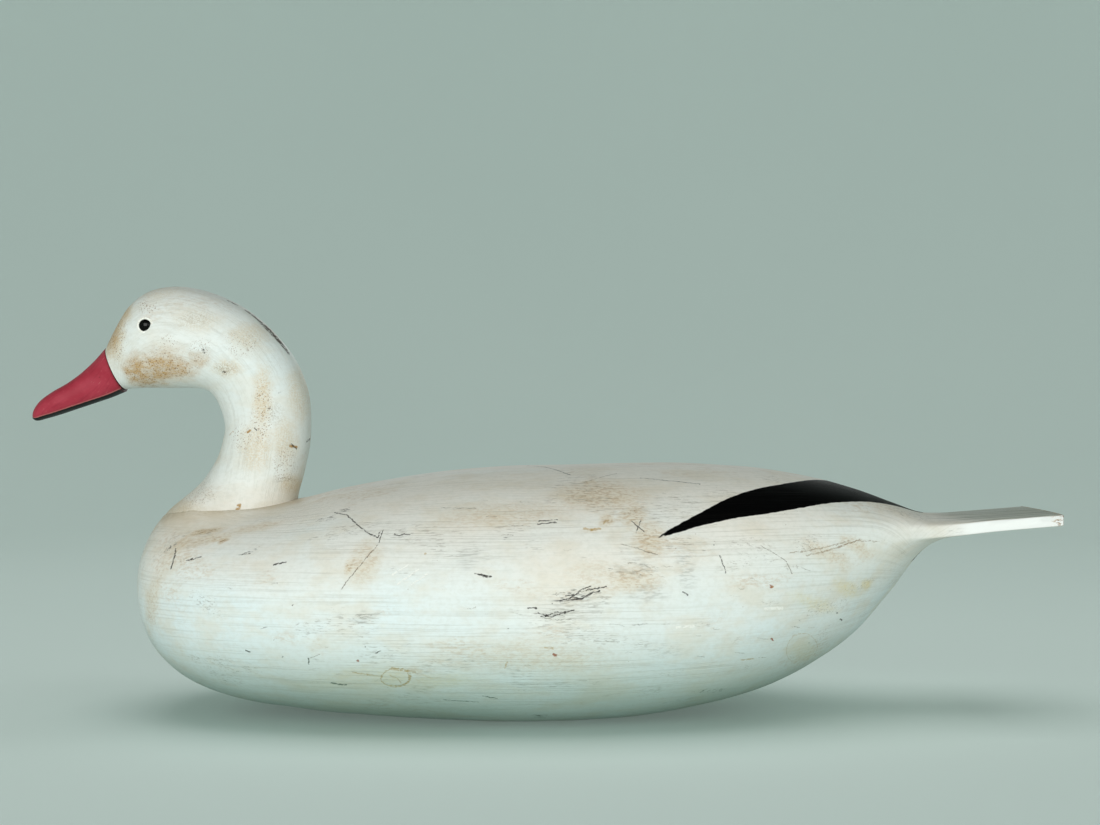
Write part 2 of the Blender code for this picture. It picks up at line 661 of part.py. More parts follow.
# ---------------------------------------------------------------- assembly
def build_body(parts, seat, block_cuts, bottom_cuts):
    """The two hollowed halves, with everything that is let into them cut out."""
    far = CUTTER_REACH
    outline = [body_ring(row) for row in body_rows()]
    upper = loft("upper_body", outline, parts)
    lower = loft("lower_body", outline, parts)
    above = box("above_seam", (-far, -far, SEAM_Z), (far, far, far), CUTTERS)
    below = box("below_seam", (-far, -far, -far), (far, far, SEAM_Z - GAP), CUTTERS)
    roof = cavity("upper_cavity", UPPER_CAVITY_X, True)
    hold = cavity("lower_cavity", LOWER_CAVITY_X, False)
    pegs, peg_holes = [], []
    for name, (x, y) in peg_places().items():
        low, high = SEAM_Z - PEG_LENGTH / 2, SEAM_Z + PEG_LENGTH / 2
        pegs.append(rod("body_peg_" + name, (x, y, low), (x, y, high), PEG_RADIUS, parts, sides=16))
        hole = (x, y, low - END_GAP), (x, y, high + END_GAP), PEG_RADIUS + GAP
        peg_holes.append(rod("peg_hole_" + name, *hole, CUTTERS, sides=16))
    boolean(upper, [above], "INTERSECT")
    boolean(upper, [roof, seat, *block_cuts, *peg_holes])
    boolean(lower, [below], "INTERSECT")
    boolean(lower, [hold, *peg_holes, *bottom_cuts])
    return upper, lower, pegs


def main():
    parts = bpy.data.collections.new("snow_goose_decoy")
    bpy.context.scene.collection.children.link(parts)
    head, seat = build_head(parts)
    bill, mortise = build_bill(parts)
    eyes, putties, head_cuts = [], [], [mortise]
    for side, sign in (("left", -1), ("right", 1)):
        eye, putty, cuts = build_eye(side, sign, parts)
        eyes.append(eye)
        putties.append(putty)
        head_cuts += cuts
    low, high = DOWEL_Z
    dowel = rod("neck_dowel", (DOWEL_X, 0, low), (DOWEL_X, 0, high), DOWEL_RADIUS, parts)
    socket_start, socket_end = (DOWEL_X, 0, low - END_GAP), (DOWEL_X, 0, high + END_GAP)
    socket = rod("dowel_hole", socket_start, socket_end, DOWEL_RADIUS + GAP, CUTTERS)
    screws, washers, block_cuts = [], [], [socket]
    head_cuts.append(socket)
    for end in NECK_SCREW_X:
        screw, washer, bore, counterbore = neck_screw(end, parts)
        screws.append(screw)
        washers.append(washer)
        head_cuts.append(bore)
        block_cuts += [bore, counterbore]
    boolean(head, head_cuts)
    weight, weight_screws, recess, screw_cuts = build_ballast(parts)
    ring, staple, tie_cuts = build_tie(parts)
    upper, lower, pegs = build_body(parts, seat, block_cuts, [recess, *screw_cuts, *tie_cuts])
    for piece in (upper, lower, head, bill, *eyes):
        smooth(piece)
    finishes = (
        ((upper, lower, head), WHITE_PAINT),
        ((bill,), RED_PAINT),
        (eyes, BLACK_GLASS),
        (putties, PUTTY),
        ((dowel, *pegs), BARE_WOOD),
        ((*screws, *washers, *weight_screws, ring, staple), BRASS),
        ((weight,), LEAD),
    )
    for pieces, finish in finishes:
        for piece in pieces:
            paint(piece, *finish)


for old in list(bpy.data.objects):
    bpy.data.objects.remove(old, do_unlink=True)
CUTTERS = bpy.data.collections.new("cutters")
bpy.context.scene.collection.children.link(CUTTERS)
CUTTERS.hide_render = True
main()
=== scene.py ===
"""The looks of the carved goose decoy: painted skins, glass eyes and fittings on the CAD frame."""

import math
import random

import bmesh
import bpy
import numpy as np
from mathutils import Matrix, Vector, noise
from mathutils.bvhtree import BVHTree
from mathutils.kdtree import KDTree


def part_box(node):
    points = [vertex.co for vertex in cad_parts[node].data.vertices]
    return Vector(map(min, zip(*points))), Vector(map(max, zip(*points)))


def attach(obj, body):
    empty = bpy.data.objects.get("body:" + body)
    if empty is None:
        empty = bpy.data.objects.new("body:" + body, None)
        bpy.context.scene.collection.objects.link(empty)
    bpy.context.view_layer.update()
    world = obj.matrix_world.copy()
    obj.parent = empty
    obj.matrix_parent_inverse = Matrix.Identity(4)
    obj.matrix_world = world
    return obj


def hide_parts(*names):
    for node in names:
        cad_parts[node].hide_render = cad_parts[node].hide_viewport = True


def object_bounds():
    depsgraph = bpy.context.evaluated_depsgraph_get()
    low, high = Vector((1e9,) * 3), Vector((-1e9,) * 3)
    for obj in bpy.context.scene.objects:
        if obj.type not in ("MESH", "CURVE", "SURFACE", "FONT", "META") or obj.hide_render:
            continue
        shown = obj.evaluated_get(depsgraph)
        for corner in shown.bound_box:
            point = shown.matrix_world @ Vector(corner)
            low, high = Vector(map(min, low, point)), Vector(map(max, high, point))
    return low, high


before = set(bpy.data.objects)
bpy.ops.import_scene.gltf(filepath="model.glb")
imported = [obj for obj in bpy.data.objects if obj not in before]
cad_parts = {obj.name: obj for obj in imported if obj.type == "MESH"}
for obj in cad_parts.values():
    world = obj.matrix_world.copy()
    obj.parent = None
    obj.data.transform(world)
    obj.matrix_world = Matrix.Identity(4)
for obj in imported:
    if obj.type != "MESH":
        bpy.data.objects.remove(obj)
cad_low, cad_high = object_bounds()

MM = 0.001
CAD_HALF_WIDTH = cad_high[1] / MM

# ---------------------------------------------------------------- the forms part.py has, in mm
# Body and tail: x, crown height, the edge's upper and lower corner heights, keel height, half
# width, and how full the curves above and below the edge are.
BODY_ROWS = (
    (-268.5, 89.5, 88.5, 87.5, 86.5, 0, 2.1, 2.2),
    (-264.5, 109, 87.5, 86.5, 61.5, 31, 2.1, 2.2),
    (-253, 126.3, 86.5, 85.5, 39.5, 57, 2.1, 2.2),
    (-230, 134.5, 84.5, 83.5, 21, 80, 2.1, 2.2),
    (-190, 137.8, 82.5, 81.5, 7.8, 98.5, 2.1, 2.2),
    (-160, 142.6, 81.4, 80.4, 3.6, 106.2, 2.1, 2.22),
    (-130, 150.3, 80.5, 79.5, 0.8, 112, 2.1, 2.25),
    (-50, 162.3, 80.5, 79.5, -3.5, 117, 2.1, 2.35),
    (30, 165.8, 82.5, 81.5, -3.5, 115.5, 2.1, 2.35),
    (90, 166.8, 88.5, 87.5, 1.5, 107.5, 2.1, 2.25),
    (140, 164.2, 98, 96.5, 12.6, 94.5, 2.1, 2.1),
    (180, 158.4, 111, 108.5, 28.2, 77, 2, 1.8),
    (215, 149.4, 121, 116.5, 51.8, 59.5, 1.9, 1.5),
    (240, 140.4, 125, 118.5, 79.5, 48.5, 1.8, 1.2),
    (259, 133.5, 126, 118.8, 104.5, 43.5, 1.7, 1),
    (275, 132.2, 127.5, 120, 115.5, 42.5, 1.7, 1),
    (302, 132.7, 130.5, 123, 122, 43.5, 2, 1),
    (343.5, 134.8, 134.2, 126.8, 126.5, 46, 2, 1),
)

# Neck and head: each rib's throat end (x, z), nape end (x, z), half width and fullness.
NECK_ROWS = (
    (-253, 114, -163, 114, 37.5, 2.1),
    (-250.5, 129, -163.5, 141.5, 37, 2.1),
    (-245.5, 135.7, -162.5, 147.5, 36, 2.1),
    (-234.3, 146.7, -160.5, 154.5, 34, 2.1),
    (-224.7, 157.6, -158.5, 162, 32, 2.1),
    (-217, 170, -156.4, 171.5, 30, 2.1),
    (-213.3, 181, -154.7, 181, 29, 2.1),
    (-211.8, 190.3, -154, 196, 28.5, 2.1),
    (-213.4, 199.5, -154.7, 209, 28.5, 2.1),
    (-217, 208.5, -157.6, 221, 28.5, 2.1),
    (-221.5, 214.2, -164.6, 236.5, 29, 2.1),
    (-227.5, 216.8, -177, 252.8, 30, 2.1),
    (-236, 217.5, -195, 269.3, 31, 2.1),
    (-246, 217.6, -220, 281.8, 31.5, 2.1),
    (-257, 217.7, -243, 286.5, 31, 2.1),
    (-266.5, 217.5, -262.4, 283, 28.5, 2.1),
    (-273, 217.2, -276.2, 273, 24.5, 2.1),
    (-277.5, 217, -285.7, 258, 20, 2.1),
    (-279.8, 216.8, -292.2, 244.9, 16.5, 2.1),
)

# Bill: each rib's lower end, upper end, half width and fullness.
BILL_ROWS = (
    (-280.1, 215, -292.6, 244.8, 16, 2.1),
    (-290, 210.9, -300.5, 236, 13.5, 2.2),
    (-301, 207.2, -309.5, 227.6, 12.3, 2.3),
    (-313, 203.2, -319, 220.7, 11.7, 2.3),
    (-325, 199.2, -329.2, 214.8, 11, 2.3),
    (-334, 196.6, -337.6, 208.6, 9, 2.2),
    (-340, 195.2, -342, 202.4, 5.5, 2.1),
    (-343.5, 196.6, -343.5, 196.8, 0, 2.1),
)

# Black wing tips: their inner and outer edge in plan, as (x, distance from the middle line).
WING_INNER = (
    (74, 99.6), (102.6, 83.8), (123, 70.2), (142, 57),
    (166, 39.5), (190, 11), (200, -4), (262, -90),
)
WING_OUTER = (
    (74, 99.6), (88, 95.6), (102, 91), (124.5, 84.4), (148, 75.8),
    (168, 65.7), (197, 48.5), (219, 35), (250, 13.5), (262, 3),
)

# How far the body rises to meet the neck, by x: (x, mm). It meets it sharply at the nape.
SEAT_RISE = ((-262, 2), (-245, 4.5), (-225, 6.5), (-200, 5), (-176, 1.6), (-164, 0))
SEAT_REACH = 21.0

BALLAST_MIDDLE = (15.0, 0.0)
BALLAST_RADII = (65.3, 22.8)
BALLAST_TOP = 10.2
HOLLOW_OVERSHOOT = 5.0  # how far the hollows' cutters reach below the bottom
TIE_MIDDLE = (-118.85, 0.0)
TIE_RADIUS = 16.0
TIE_DEPTH = 11.0
TIE_PIVOT = (-127.0, 0.0, 6.0)
RING_RADIUS = 9.7
RING_WIRE_RADIUS = 1.3
RING_DROOP = math.radians(12.5)

EYE_RADIUS = 4.0  # where the glass meets the wood
EYE_PROUD = 1.2
EYE_STEM_RADIUS = 0.8
PUTTY_RADIUS = 4.75  # of the middle of its rim
PUTTY_HALF_WIDTH = 0.75
PUTTY_PROUD = 0.3
TAIL_ROUNDING = 1.3  # radius of the worn edges at the tail's end

# How finely the skins are divided, along and round.
BODY_SECTIONS, BODY_RING = 300, 260
NECK_SECTIONS, NECK_RING = 170, 144
BILL_SECTIONS, BILL_RING = 80, 96
BILL_CAP_HEIGHTS = (5.0, 1.0)  # of the middles of its base and tip
ROUND_SIDES = 64  # round an eye or its putty
WIDE_SIDES = 96  # round the line ring, a hollow or the backdrop

LEVEL_Z = 86.0  # the height from which the body's grain runs level
# The unevenness of each skin in layers: size and depth in mm, and the noise's seed.
BODY_KNIFE_WORK = ((46.0, 0.55, 1), (15.0, 0.14, 2))
HEAD_KNIFE_WORK = ((30.0, 0.5, 3), (11.0, 0.12, 4))
BOTTOM_FLAT_Z = 0.4  # the bottom is left flat below this
TAIL_FLAT_X = 342.0  # the tail's end is left flat behind this
SEAT_BEHIND_X = -120.0  # the body may rise to the neck ahead of this
SEAT_ABOVE_Z = 100.0  # and above this
SEAT_TOP_Z = 175.0  # the neck may spread to the body below this
HEAD_SEAT_SHARE = 0.8  # how far the neck spreads, against how far the body rises

# How finely smaller things are divided.
OUTLINE_POINTS = 90  # in each quarter of a body section, before they are spaced evenly
WING_POINTS = 120
TAIL_STEPS = 6
DOME_STEPS = 14
RIM_STEPS = 10
WIRE_SIDES = 20

# From what angle in degrees an edge is sharp.
SHARP_SKIN = 50
SHARP_GLASS = 60
SHARP_FITTING = 35
SHARP_NEVER = 180

WING_LOWEST_Z = 100.0
NOT_WING = -20.0  # the wing depth of points below that
NAPE_OFFSET = 7.0  # how far to the left of the ridge the scrape along the nape runs
NOWHERE = 1e4
STROKE_LAYERS = 3  # how many strokes may cross one face
STROKE_REACH = 7.0  # how near a face a stroke has to pass to be drawn on it, in mm
FLAT = (1.0, 1.0, 0.0)


# ---------------------------------------------------------------- fair curves
def catmull_rom(t, knots, values):
    t0, t1, t2, t3 = knots
    v0, v1, v2, v3 = values
    a1 = (t1 - t) / (t1 - t0) * v0 + (t - t0) / (t1 - t0) * v1
    a2 = (t2 - t) / (t2 - t1) * v1 + (t - t1) / (t2 - t1) * v2
    a3 = (t3 - t) / (t3 - t2) * v2 + (t - t2) / (t3 - t2) * v3
    b1 = (t2 - t) / (t2 - t0) * a1 + (t - t0) / (t2 - t0) * a2
    b2 = (t3 - t) / (t3 - t1) * a2 + (t - t1) / (t3 - t1) * a3
    return (t2 - t) / (t2 - t1) * b1 + (t - t1) / (t2 - t1) * b2


def fair(points, count, columns):
    """Count rows evenly along a smooth curve through points, whose first and last only guide it."""
    points = [np.array(p, float) for p in points]
    knots = [0.0]
    for a, b in zip(points, points[1:]):
        knots.append(knots[-1] + math.sqrt(np.linalg.norm((b - a)[list(columns)])))
    rows = []
    for i in range(count):
        t = knots[1] + (knots[-2] - knots[1]) * i / (count - 1)
        k = max(j for j in range(1, len(points) - 2) if knots[j] <= t + 1e-9)
        rows.append(catmull_rom(t, knots[k - 1 : k + 3], points[k - 1 : k + 3]))
    return np.array(rows)


def with_ends(rows):
    """The rows with one more at each end, carried straight on."""
    rows = [np.array(row, float) for row in rows]
    return [2 * rows[0] - rows[1], *rows, 2 * rows[-1] - rows[-2]]


def run_lengths(points):
    """How far along a line of points each one lies."""
    return np.concatenate([[0], np.cumsum(np.linalg.norm(np.diff(points, axis=0), axis=1))])


def girth_of(ring):
    """How far round the section from its first each point is, negative on the way back to it."""
    length = run_lengths(np.vstack([ring, ring[:1]]))
    return np.where(length[:-1] > length[-1] / 2, length[:-1] - length[-1], length[:-1])


def even_ring(ring, count, softenings):
    """A closed outline's points spaced evenly from its first, with its corners worn round."""
    closed = np.vstack([ring, ring[:1]])
    length = run_lengths(closed)
    places = np.linspace(0, length[-1], count, endpoint=False)
    even = np.stack([np.interp(places, length, closed[:, k]) for k in range(closed.shape[1])], axis=1)
    for _ in range(softenings):
        even = (np.roll(even, 1, axis=0) + 2 * even + np.roll(even, -1, axis=0)) / 4
    return even


def body_outline(row):
    """(y, z) round one section of the body, from the crown down the right side."""
    _, crown, edge_top, edge_bottom, keel, half_width, upper, lower = row
    turn = np.linspace(0, math.pi / 2, OUTLINE_POINTS)
    across = np.maximum(np.sin(turn), 0)
    along = np.maximum(np.cos(turn), 0)
    top = (half_width * across ** (2 / upper), edge_top + (crown - edge_top) * along ** (2 / upper))
    low = (half_width * across ** (2 / lower), edge_bottom - (edge_bottom - keel) * along ** (2 / lower))
    right = np.vstack([np.stack(top, 1), np.stack(low, 1)[::-1]])
    left = right[-2:0:-1] * (-1, 1)
    ring = even_ring(np.vstack([right, left]), BODY_RING, 3)
    ring[:, 1] = np.maximum(ring[:, 1], 0.0)
    return ring


def body_rows():
    front = list(BODY_ROWS[1])
    front[5] *= -1
    last = 2 * np.array(BODY_ROWS[-1]) - np.array(BODY_ROWS[-2])
    return fair([front, *BODY_ROWS, last], BODY_SECTIONS, (0, 5))


def rib_outline(rib, count):
    """Points round one rib of the neck or bill, from its nape or upper end round the left side."""
    x0, z0, x1, z1, half_width, power = rib
    turn = np.linspace(0, 2 * math.pi, count, endpoint=False)
    c, s = np.cos(turn), np.sin(turn)
    along = np.sign(c) * np.abs(c) ** (2 / power)
    across = -np.sign(s) * np.abs(s) ** (2 / power)
    x = (x0 + x1) / 2 + (x1 - x0) / 2 * along
    z = (z0 + z1) / 2 + (z1 - z0) / 2 * along
    return np.stack([x, half_width * across, z], axis=1)


# ---------------------------------------------------------------- meshes
def grid_mesh(name, rings, caps=(True, True), joined=False):
    """A mesh through equal rings in mm, its ends capped or its last ring joined to its first."""
    rings = np.asarray(rings)
    count, around = rings.shape[:2]
    points = rings.reshape(-1, 3)
    faces = []
    for i in range(count if joined else count - 1):
        a, b = i * around, (i + 1) % count * around
        for j in range(around):
            k = (j + 1) % around
            faces.append((a + j, a + k, b + k, b + j))
    for end, wanted in ((0, caps[0]), (count - 1, caps[1])):
        if wanted and not joined:
            centre = len(points)
            points = np.vstack([points, rings[end].mean(axis=0)])
            for j in range(around):
                faces.append((end * around + j, end * around + (j + 1) % around, centre))
    mesh = bpy.data.meshes.new(name)
    mesh.from_pydata((points * MM).tolist(), [], faces)
    bm = bmesh.new()
    bm.from_mesh(mesh)
    bmesh.ops.recalc_face_normals(bm, faces=bm.faces)
    bm.to_mesh(mesh)
    bm.free()
    return mesh


def circles(profile, sides):
    """A circle of points round the upright axis for each (radius, height)."""
    turn = np.linspace(0, 2 * math.pi, sides, endpoint=False)
    c, s = np.cos(turn), np.sin(turn)
    return np.array([np.stack([r * c, r * s, np.full(sides, h)], axis=1) for r, h in profile])


def turned_mesh(name, profile, sides, centre, axis, ring=False):
    """A turned shape of (radius, height) in mm: a solid's outline, or a ring's section."""
    rings = circles(profile, sides)
    mesh = grid_mesh(name, rings.transpose(1, 0, 2), joined=True) if ring else grid_mesh(name, rings)
    upright = Vector(axis).to_track_quat("Z", "Y").to_matrix().to_4x4()
    mesh.transform(Matrix.Translation(Vector(centre) * MM) @ upright)
    return mesh


def add_object(name, data):
    obj = bpy.data.objects.new(name, data)
    bpy.context.scene.collection.objects.link(obj)
    return obj


def place_piece(name, mesh, sharp_from, material, body, slot, *replaced):
    """Adds a piece on its body, for the CAD nodes it replaces. slot is not used."""
    smooth(mesh, sharp_from)
    mesh.materials.append(material)
    obj = add_object(name, mesh)
    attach(obj, body)
    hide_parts(*replaced)


def vertex_rows(mesh, kind):
    """Every vertex's "co" or "normal"."""
    flat = np.empty(len(mesh.vertices) * 3, np.float32)
    mesh.vertices.foreach_get(kind, flat)
    return flat.reshape(-1, 3).astype(float)


def set_coordinates(mesh, points):
    mesh.vertices.foreach_set("co", points.astype(np.float32).ravel())
    mesh.update()


def attributes(mesh, **named_values):
    for name, values in named_values.items():
        layer = mesh.attributes.new(name, "FLOAT", "POINT")
        layer.data.foreach_set("value", np.asarray(values, np.float32))


def smooth(mesh, angle):
    mesh.shade_smooth()
    mesh.set_sharp_from_angle(angle=math.radians(angle))


def knife_work(points, size, depth, seed):
    """How high the gentle unevenness that tools leave is at each point, in mm."""
    shift = Vector((seed * 13.7, seed * 5.1, seed * 9.3))
    return np.array([noise.noise(Vector(p) / size + shift) * depth for p in points])


def slug(name, centre, radii, low, high):
    """A loose upright oval block, in mm, for cutting."""
    mesh = bpy.data.meshes.new(name)
    bm = bmesh.new()
    size = Matrix.Diagonal((radii[0] * MM, radii[1] * MM, (high - low) * MM, 1))
    matrix = Matrix.Translation(Vector((centre[0], centre[1], (low + high) / 2)) * MM) @ size
    bmesh.ops.create_cone(
        bm, cap_ends=True, segments=WIDE_SIDES, radius1=1, radius2=1, depth=1, matrix=matrix
    )
    bm.to_mesh(mesh)
    bm.free()
    return add_object(name, mesh)


def cut(obj, cutters):
    """Applies Boolean cuts to a piece and removes the cutters."""
    for cutter in cutters:
        modifier = obj.modifiers.new("cut", "BOOLEAN")
        modifier.object = cutter
    bpy.context.view_layer.update()
    graph = bpy.context.evaluated_depsgraph_get()
    mesh = bpy.data.meshes.new_from_object(obj.evaluated_get(graph))
    obj.modifiers.clear()
    obj.data = mesh
    for cutter in cutters:
        bpy.data.objects.remove(cutter)


# ---------------------------------------------------------------- shader building
def srgb(red, green, blue):
    """A linear colour from 0-255 screen values."""
    linear = []
    for value in (red, green, blue):
        value /= 255
        linear.append(value / 12.92 if value <= 0.04045 else ((value + 0.055) / 1.055) ** 2.4)
    return (*linear, 1.0)


class Value:
    """A number that a material's nodes work out, with arithmetic that adds nodes."""

    def __init__(self, shade, socket):
        self.shade, self.socket = shade, socket

    def __add__(self, other):
        return self.shade.math("ADD", self, other)

    def __sub__(self, other):
        return self.shade.math("SUBTRACT", self, other)

    def __mul__(self, other):
        return self.shade.math("MULTIPLY", self, other)

    def most(self, other):
        return self.shade.math("MAXIMUM", self, other)

    def step(self, low, high):
        """0 below low, 1 above high, smooth between. low may be the greater."""
        sockets = {"Value": self, "From Min": low, "From Max": high}
        node = self.shade.add("ShaderNodeMapRange", sockets, interpolation_type="SMOOTHSTEP")
        return Value(self.shade, node.outputs[0])


class Shade:
    """A material's node tree and the colour laid on it so far. Its positions are in mm."""

    def __init__(self, name):
        self.material = bpy.data.materials.new(name)
        self.material.use_nodes = True
        self.tree = self.material.node_tree
        self.surface = self.tree.nodes["Principled BSDF"]
        where = self.add("ShaderNodeTexCoord").outputs["Object"]
        self.place = self.vector("SCALE", where, {3: 1 / MM})
        self.x, self.y, self.z = self.split(self.place)

    def add(self, kind, sockets=None, **settings):
        node = self.tree.nodes.new(kind)
        for key, value in settings.items():
            setattr(node, key, value)
        for key, value in (sockets or {}).items():
            self.feed(node.inputs[key], value)
        return node

    def feed(self, socket, value):
        if isinstance(value, Value):
            value = value.socket
        if isinstance(value, bpy.types.NodeSocket):
            self.tree.links.new(value, socket)
        else:
            socket.default_value = value

    def math(self, operation, a, b, clamp=False):
        node = self.add("ShaderNodeMath", {0: a, 1: b}, operation=operation, use_clamp=clamp)
        return Value(self, node.outputs[0])

    def vector(self, operation, a, others):
        """A vector from vectors. others are the inputs after the first, by their number."""
        return self.add("ShaderNodeVectorMath", {0: a, **others}, operation=operation).outputs[0]

    def measure(self, operation, a, b=(0.0, 0.0, 0.0)):
        """A number from vectors: a length or a dot product."""
        node = self.add("ShaderNodeVectorMath", {0: a, 1: b}, operation=operation)
        return Value(self, node.outputs["Value"])

    def split(self, vector):
        return [Value(self, part) for part in self.add("ShaderNodeSeparateXYZ", {0: vector}).outputs]

    def flat(self, across, along):
        return self.add("ShaderNodeCombineXYZ", {0: across, 1: along, 2: 0.0}).outputs[0]

    def sideways(self):
        """How squarely the surface faces left or right, from 0 to 1."""
        facing = self.split(self.add("ShaderNodeTexCoord").outputs["Normal"])
        return self.math("ABSOLUTE", facing[1], 0.0)

    def named(self, name):
        return Value(self, self.add("ShaderNodeAttribute", attribute_name=name).outputs["Fac"])

    def noise_node(self, grain, seed, detail, rough, where):
        stretched = self.vector("DIVIDE", where, {1: grain})
        moved = self.vector("ADD", stretched, {1: (seed * 7.31, seed * 3.17, seed * 5.53)})
        sockets = {"Vector": moved, "Scale": 1.0, "Detail": detail, "Roughness": rough}
        return self.add("ShaderNodeTexNoise", sockets)

    def noise(self, grain, seed, detail=2.0, rough=0.5, where=None):
        """Noise whose features are about grain = (x, y, z) mm across."""
        node = self.noise_node(grain, seed, detail, rough, self.place if where is None else where)
        return Value(self, node.outputs[0])

    def specks(self, size, seed, share, radius):
        """Small round spots: one to a cell of the given size in mm, in this share of the cells."""
        cell = self.vector("DIVIDE", self.place, {1: (size,) * 3})
        moved = self.vector("ADD", cell, {1: (seed * 3.3,) * 3})
        cells = self.add("ShaderNodeTexVoronoi", {"Vector": moved, "Scale": 1.0})
        chance = self.add("ShaderNodeSeparateColor", {0: cells.outputs["Color"]}).outputs[0]
        spot = Value(self, cells.outputs["Distance"]).step(radius / size, radius * 0.4 / size)
        return self.math("LESS_THAN", chance, share) * spot

    def mix(self, amount, a, b):
        node = self.add("ShaderNodeMix", data_type="RGBA", blend_type="MIX")
        for socket, value in ((0, amount), (6, a), (7, b)):
            self.feed(node.inputs[socket], value)
        return node.outputs[2]

    def cover(self, amount, colour):
        """Lays a colour over what is there."""
        self.colour = self.mix(amount, self.colour, colour)

    def finish(self, roughness, height=None, **others):
        """Feeds the surface shader. height is in mm; others are its other sockets."""
        self.feed(self.surface.inputs["Base Color"], self.colour)
        self.feed(self.surface.inputs["Roughness"], roughness)
        for key, value in others.items():
            self.feed(self.surface.inputs[key.replace("_", " ")], value)
        if height is not None:
            bump = self.add("ShaderNodeBump", {"Height": height, "Strength": 1.0, "Distance": MM})
            self.feed(self.surface.inputs["Normal"], bump.outputs[0])
        return self.material


# ---------------------------------------------------------------- strokes
def keep_strokes(mesh, plane, marks, seam):
    """Gives each face its nearest strokes, which the material draws exactly.

    plane holds each vertex's place on the unrolled surface. A mark is (colour, strength, width,
    point, point, ...) there, in mm. seam says which vertices lie where the surface was cut open.
    """
    corners = np.empty(len(mesh.loops), np.int32)
    mesh.loops.foreach_get("vertex_index", corners)
    first = np.empty(len(mesh.polygons), np.int32)
    mesh.polygons.foreach_get("loop_start", first)
    sizes = np.diff(np.append(first, len(corners)))
    middle = np.add.reduceat(plane[corners], first, axis=0) / sizes[:, None]
    middle[np.add.reduceat(seam[corners].astype(int), first) > 0] = NOWHERE
    shape = (len(first), STROKE_LAYERS)
    nearest = np.full(shape, STROKE_REACH)
    kept = {name: np.zeros((*shape, 3), np.float32) for name in ("start", "run", "colour")}
    kept["start"][:] = (2 * NOWHERE, 0, 1)
    kept["run"][:, :, 0] = 1
    for colour, strength, width, *points in marks:
        ends = list(zip(points, points[1:])) or [(points[0], (points[0][0] + 0.1, points[0][1]))]
        for start, end in ends:
            start, end = np.array(start, float), np.array(end, float)
            run = end - start
            low = np.minimum(start, end) - STROKE_REACH
            high = np.maximum(start, end) + STROKE_REACH
            near = np.flatnonzero(((middle > low) & (middle < high)).all(axis=1))
            share = np.clip((middle[near] - start) @ run / (run @ run), 0, 1)
            away = np.linalg.norm(middle[near] - start - share[:, None] * run, axis=1) - width / 2
            layer = nearest[near].argmax(axis=1)
            closer = away < nearest[near, layer]
            near, layer = near[closer], layer[closer]
            nearest[near, layer] = away[closer]
            kept["start"][near, layer] = (*start, width / 2)
            kept["run"][near, layer] = (*run, strength)
            kept["colour"][near, layer] = colour[:3]
    for layer in range(STROKE_LAYERS):
        for name, values in kept.items():
            stored = mesh.attributes.new(f"stroke_{name}_{layer}", "FLOAT_VECTOR", "FACE")
            stored.data.foreach_set("vector", values[:, layer].ravel())


def stroke_mask(shade, place, start, run):
    """How strongly a stroke covers each place: fully on its line, not from 1.5 half widths out."""
    half_width, strength = shade.split(start)[2], shade.split(run)[2]
    start, run = (shade.vector("MULTIPLY", end, {1: FLAT}) for end in (start, run))
    apart = shade.vector("SUBTRACT", place, {1: start})
    covered, square = shade.measure("DOT_PRODUCT", apart, run), shade.measure("DOT_PRODUCT", run, run)
    nearest = shade.vector("SCALE", run, {3: shade.math("DIVIDE", covered, square, clamp=True)})
    away = shade.measure("LENGTH", shade.vector("SUBTRACT", apart, {1: nearest}))
    return shade.math("DIVIDE", away, half_width).step(1.5, 0.6) * strength


def draw_strokes(shade, place, breaks):
    """Draws the mesh's strokes over the colour, and gives how much they cover."""
    covered = None
    for layer in range(STROKE_LAYERS):
        start, run, colour = (
            shade.add("ShaderNodeAttribute", attribute_name=f"stroke_{name}_{layer}").outputs["Vector"]
            for name in ("start", "run", "colour")
        )
        mask = stroke_mask(shade, place, start, run) * breaks
        shade.cover(mask, colour)
        covered = mask if covered is None else covered.most(mask)
    return covered


def keep_patches(mesh, name, places, marks, seed):
    """Stores how strongly soft oval patches cover each vertex."""
    points = vertex_rows(mesh, "co") / MM
    ragged = (knife_work(points, 6.0, 2.4, seed), knife_work(points, 5.0, 2.0, seed + 1))
    ragged = places + np.stack(ragged, 1)
    cover = np.zeros(len(places))
    for strength, x, y, across, along in marks:
        off = np.hypot((ragged[:, 0] - x) / across, (ragged[:, 1] - y) / along)
        share = np.clip((1.0 - off) / 0.75, 0, 1)
        cover = np.maximum(cover, strength * share * share * (3 - 2 * share))
    attributes(mesh, **{name: cover})


def arc(x, y, across, along, start, end, steps=8):
    """Points along part of an oval, from one angle in degrees to another."""
    turns = [math.radians(start + (end - start) * k / steps) for k in range(steps + 1)]
    return [(x + across * math.cos(turn), y + along * math.sin(turn)) for turn in turns]


# ---------------------------------------------------------------- colours
WHITE_COOL_AND_REFLECTION = srgb(226, 236, 236)
WHITE_WARM = srgb(238, 233, 224)
WHITE_SHADE = srgb(201, 201, 189)
CLOUD_CREAM = srgb(222, 210, 188)
GRAIN_GREY = srgb(166, 162, 146)
FILM_BROWN = srgb(186, 150, 104)
FAINT_BROWN = srgb(214, 195, 162)
STAIN_BROWN = srgb(128, 88, 46)
STAIN_CREAM = srgb(206, 180, 136)
CHEEK_TAN = srgb(186, 146, 86)
FRECKLE_BROWN = srgb(128, 82, 34)
SEAT_HAZE_AND_SHADE = srgb(198, 178, 146)
SEAT_DIRT_AND_SHADE = srgb(164, 146, 116)
SEAT_SHADOW_LINE = srgb(104, 86, 64)
GRIME_AND_SHADE_GREEN = srgb(112, 146, 126)
OCHRE = srgb(178, 142, 72)
YELLOW = srgb(222, 202, 134)
RUST = srgb(150, 72, 36)
INK = srgb(52, 47, 45)
RIDGE_BROWN = srgb(132, 104, 70)
HAIRLINE = srgb(104, 90, 72)
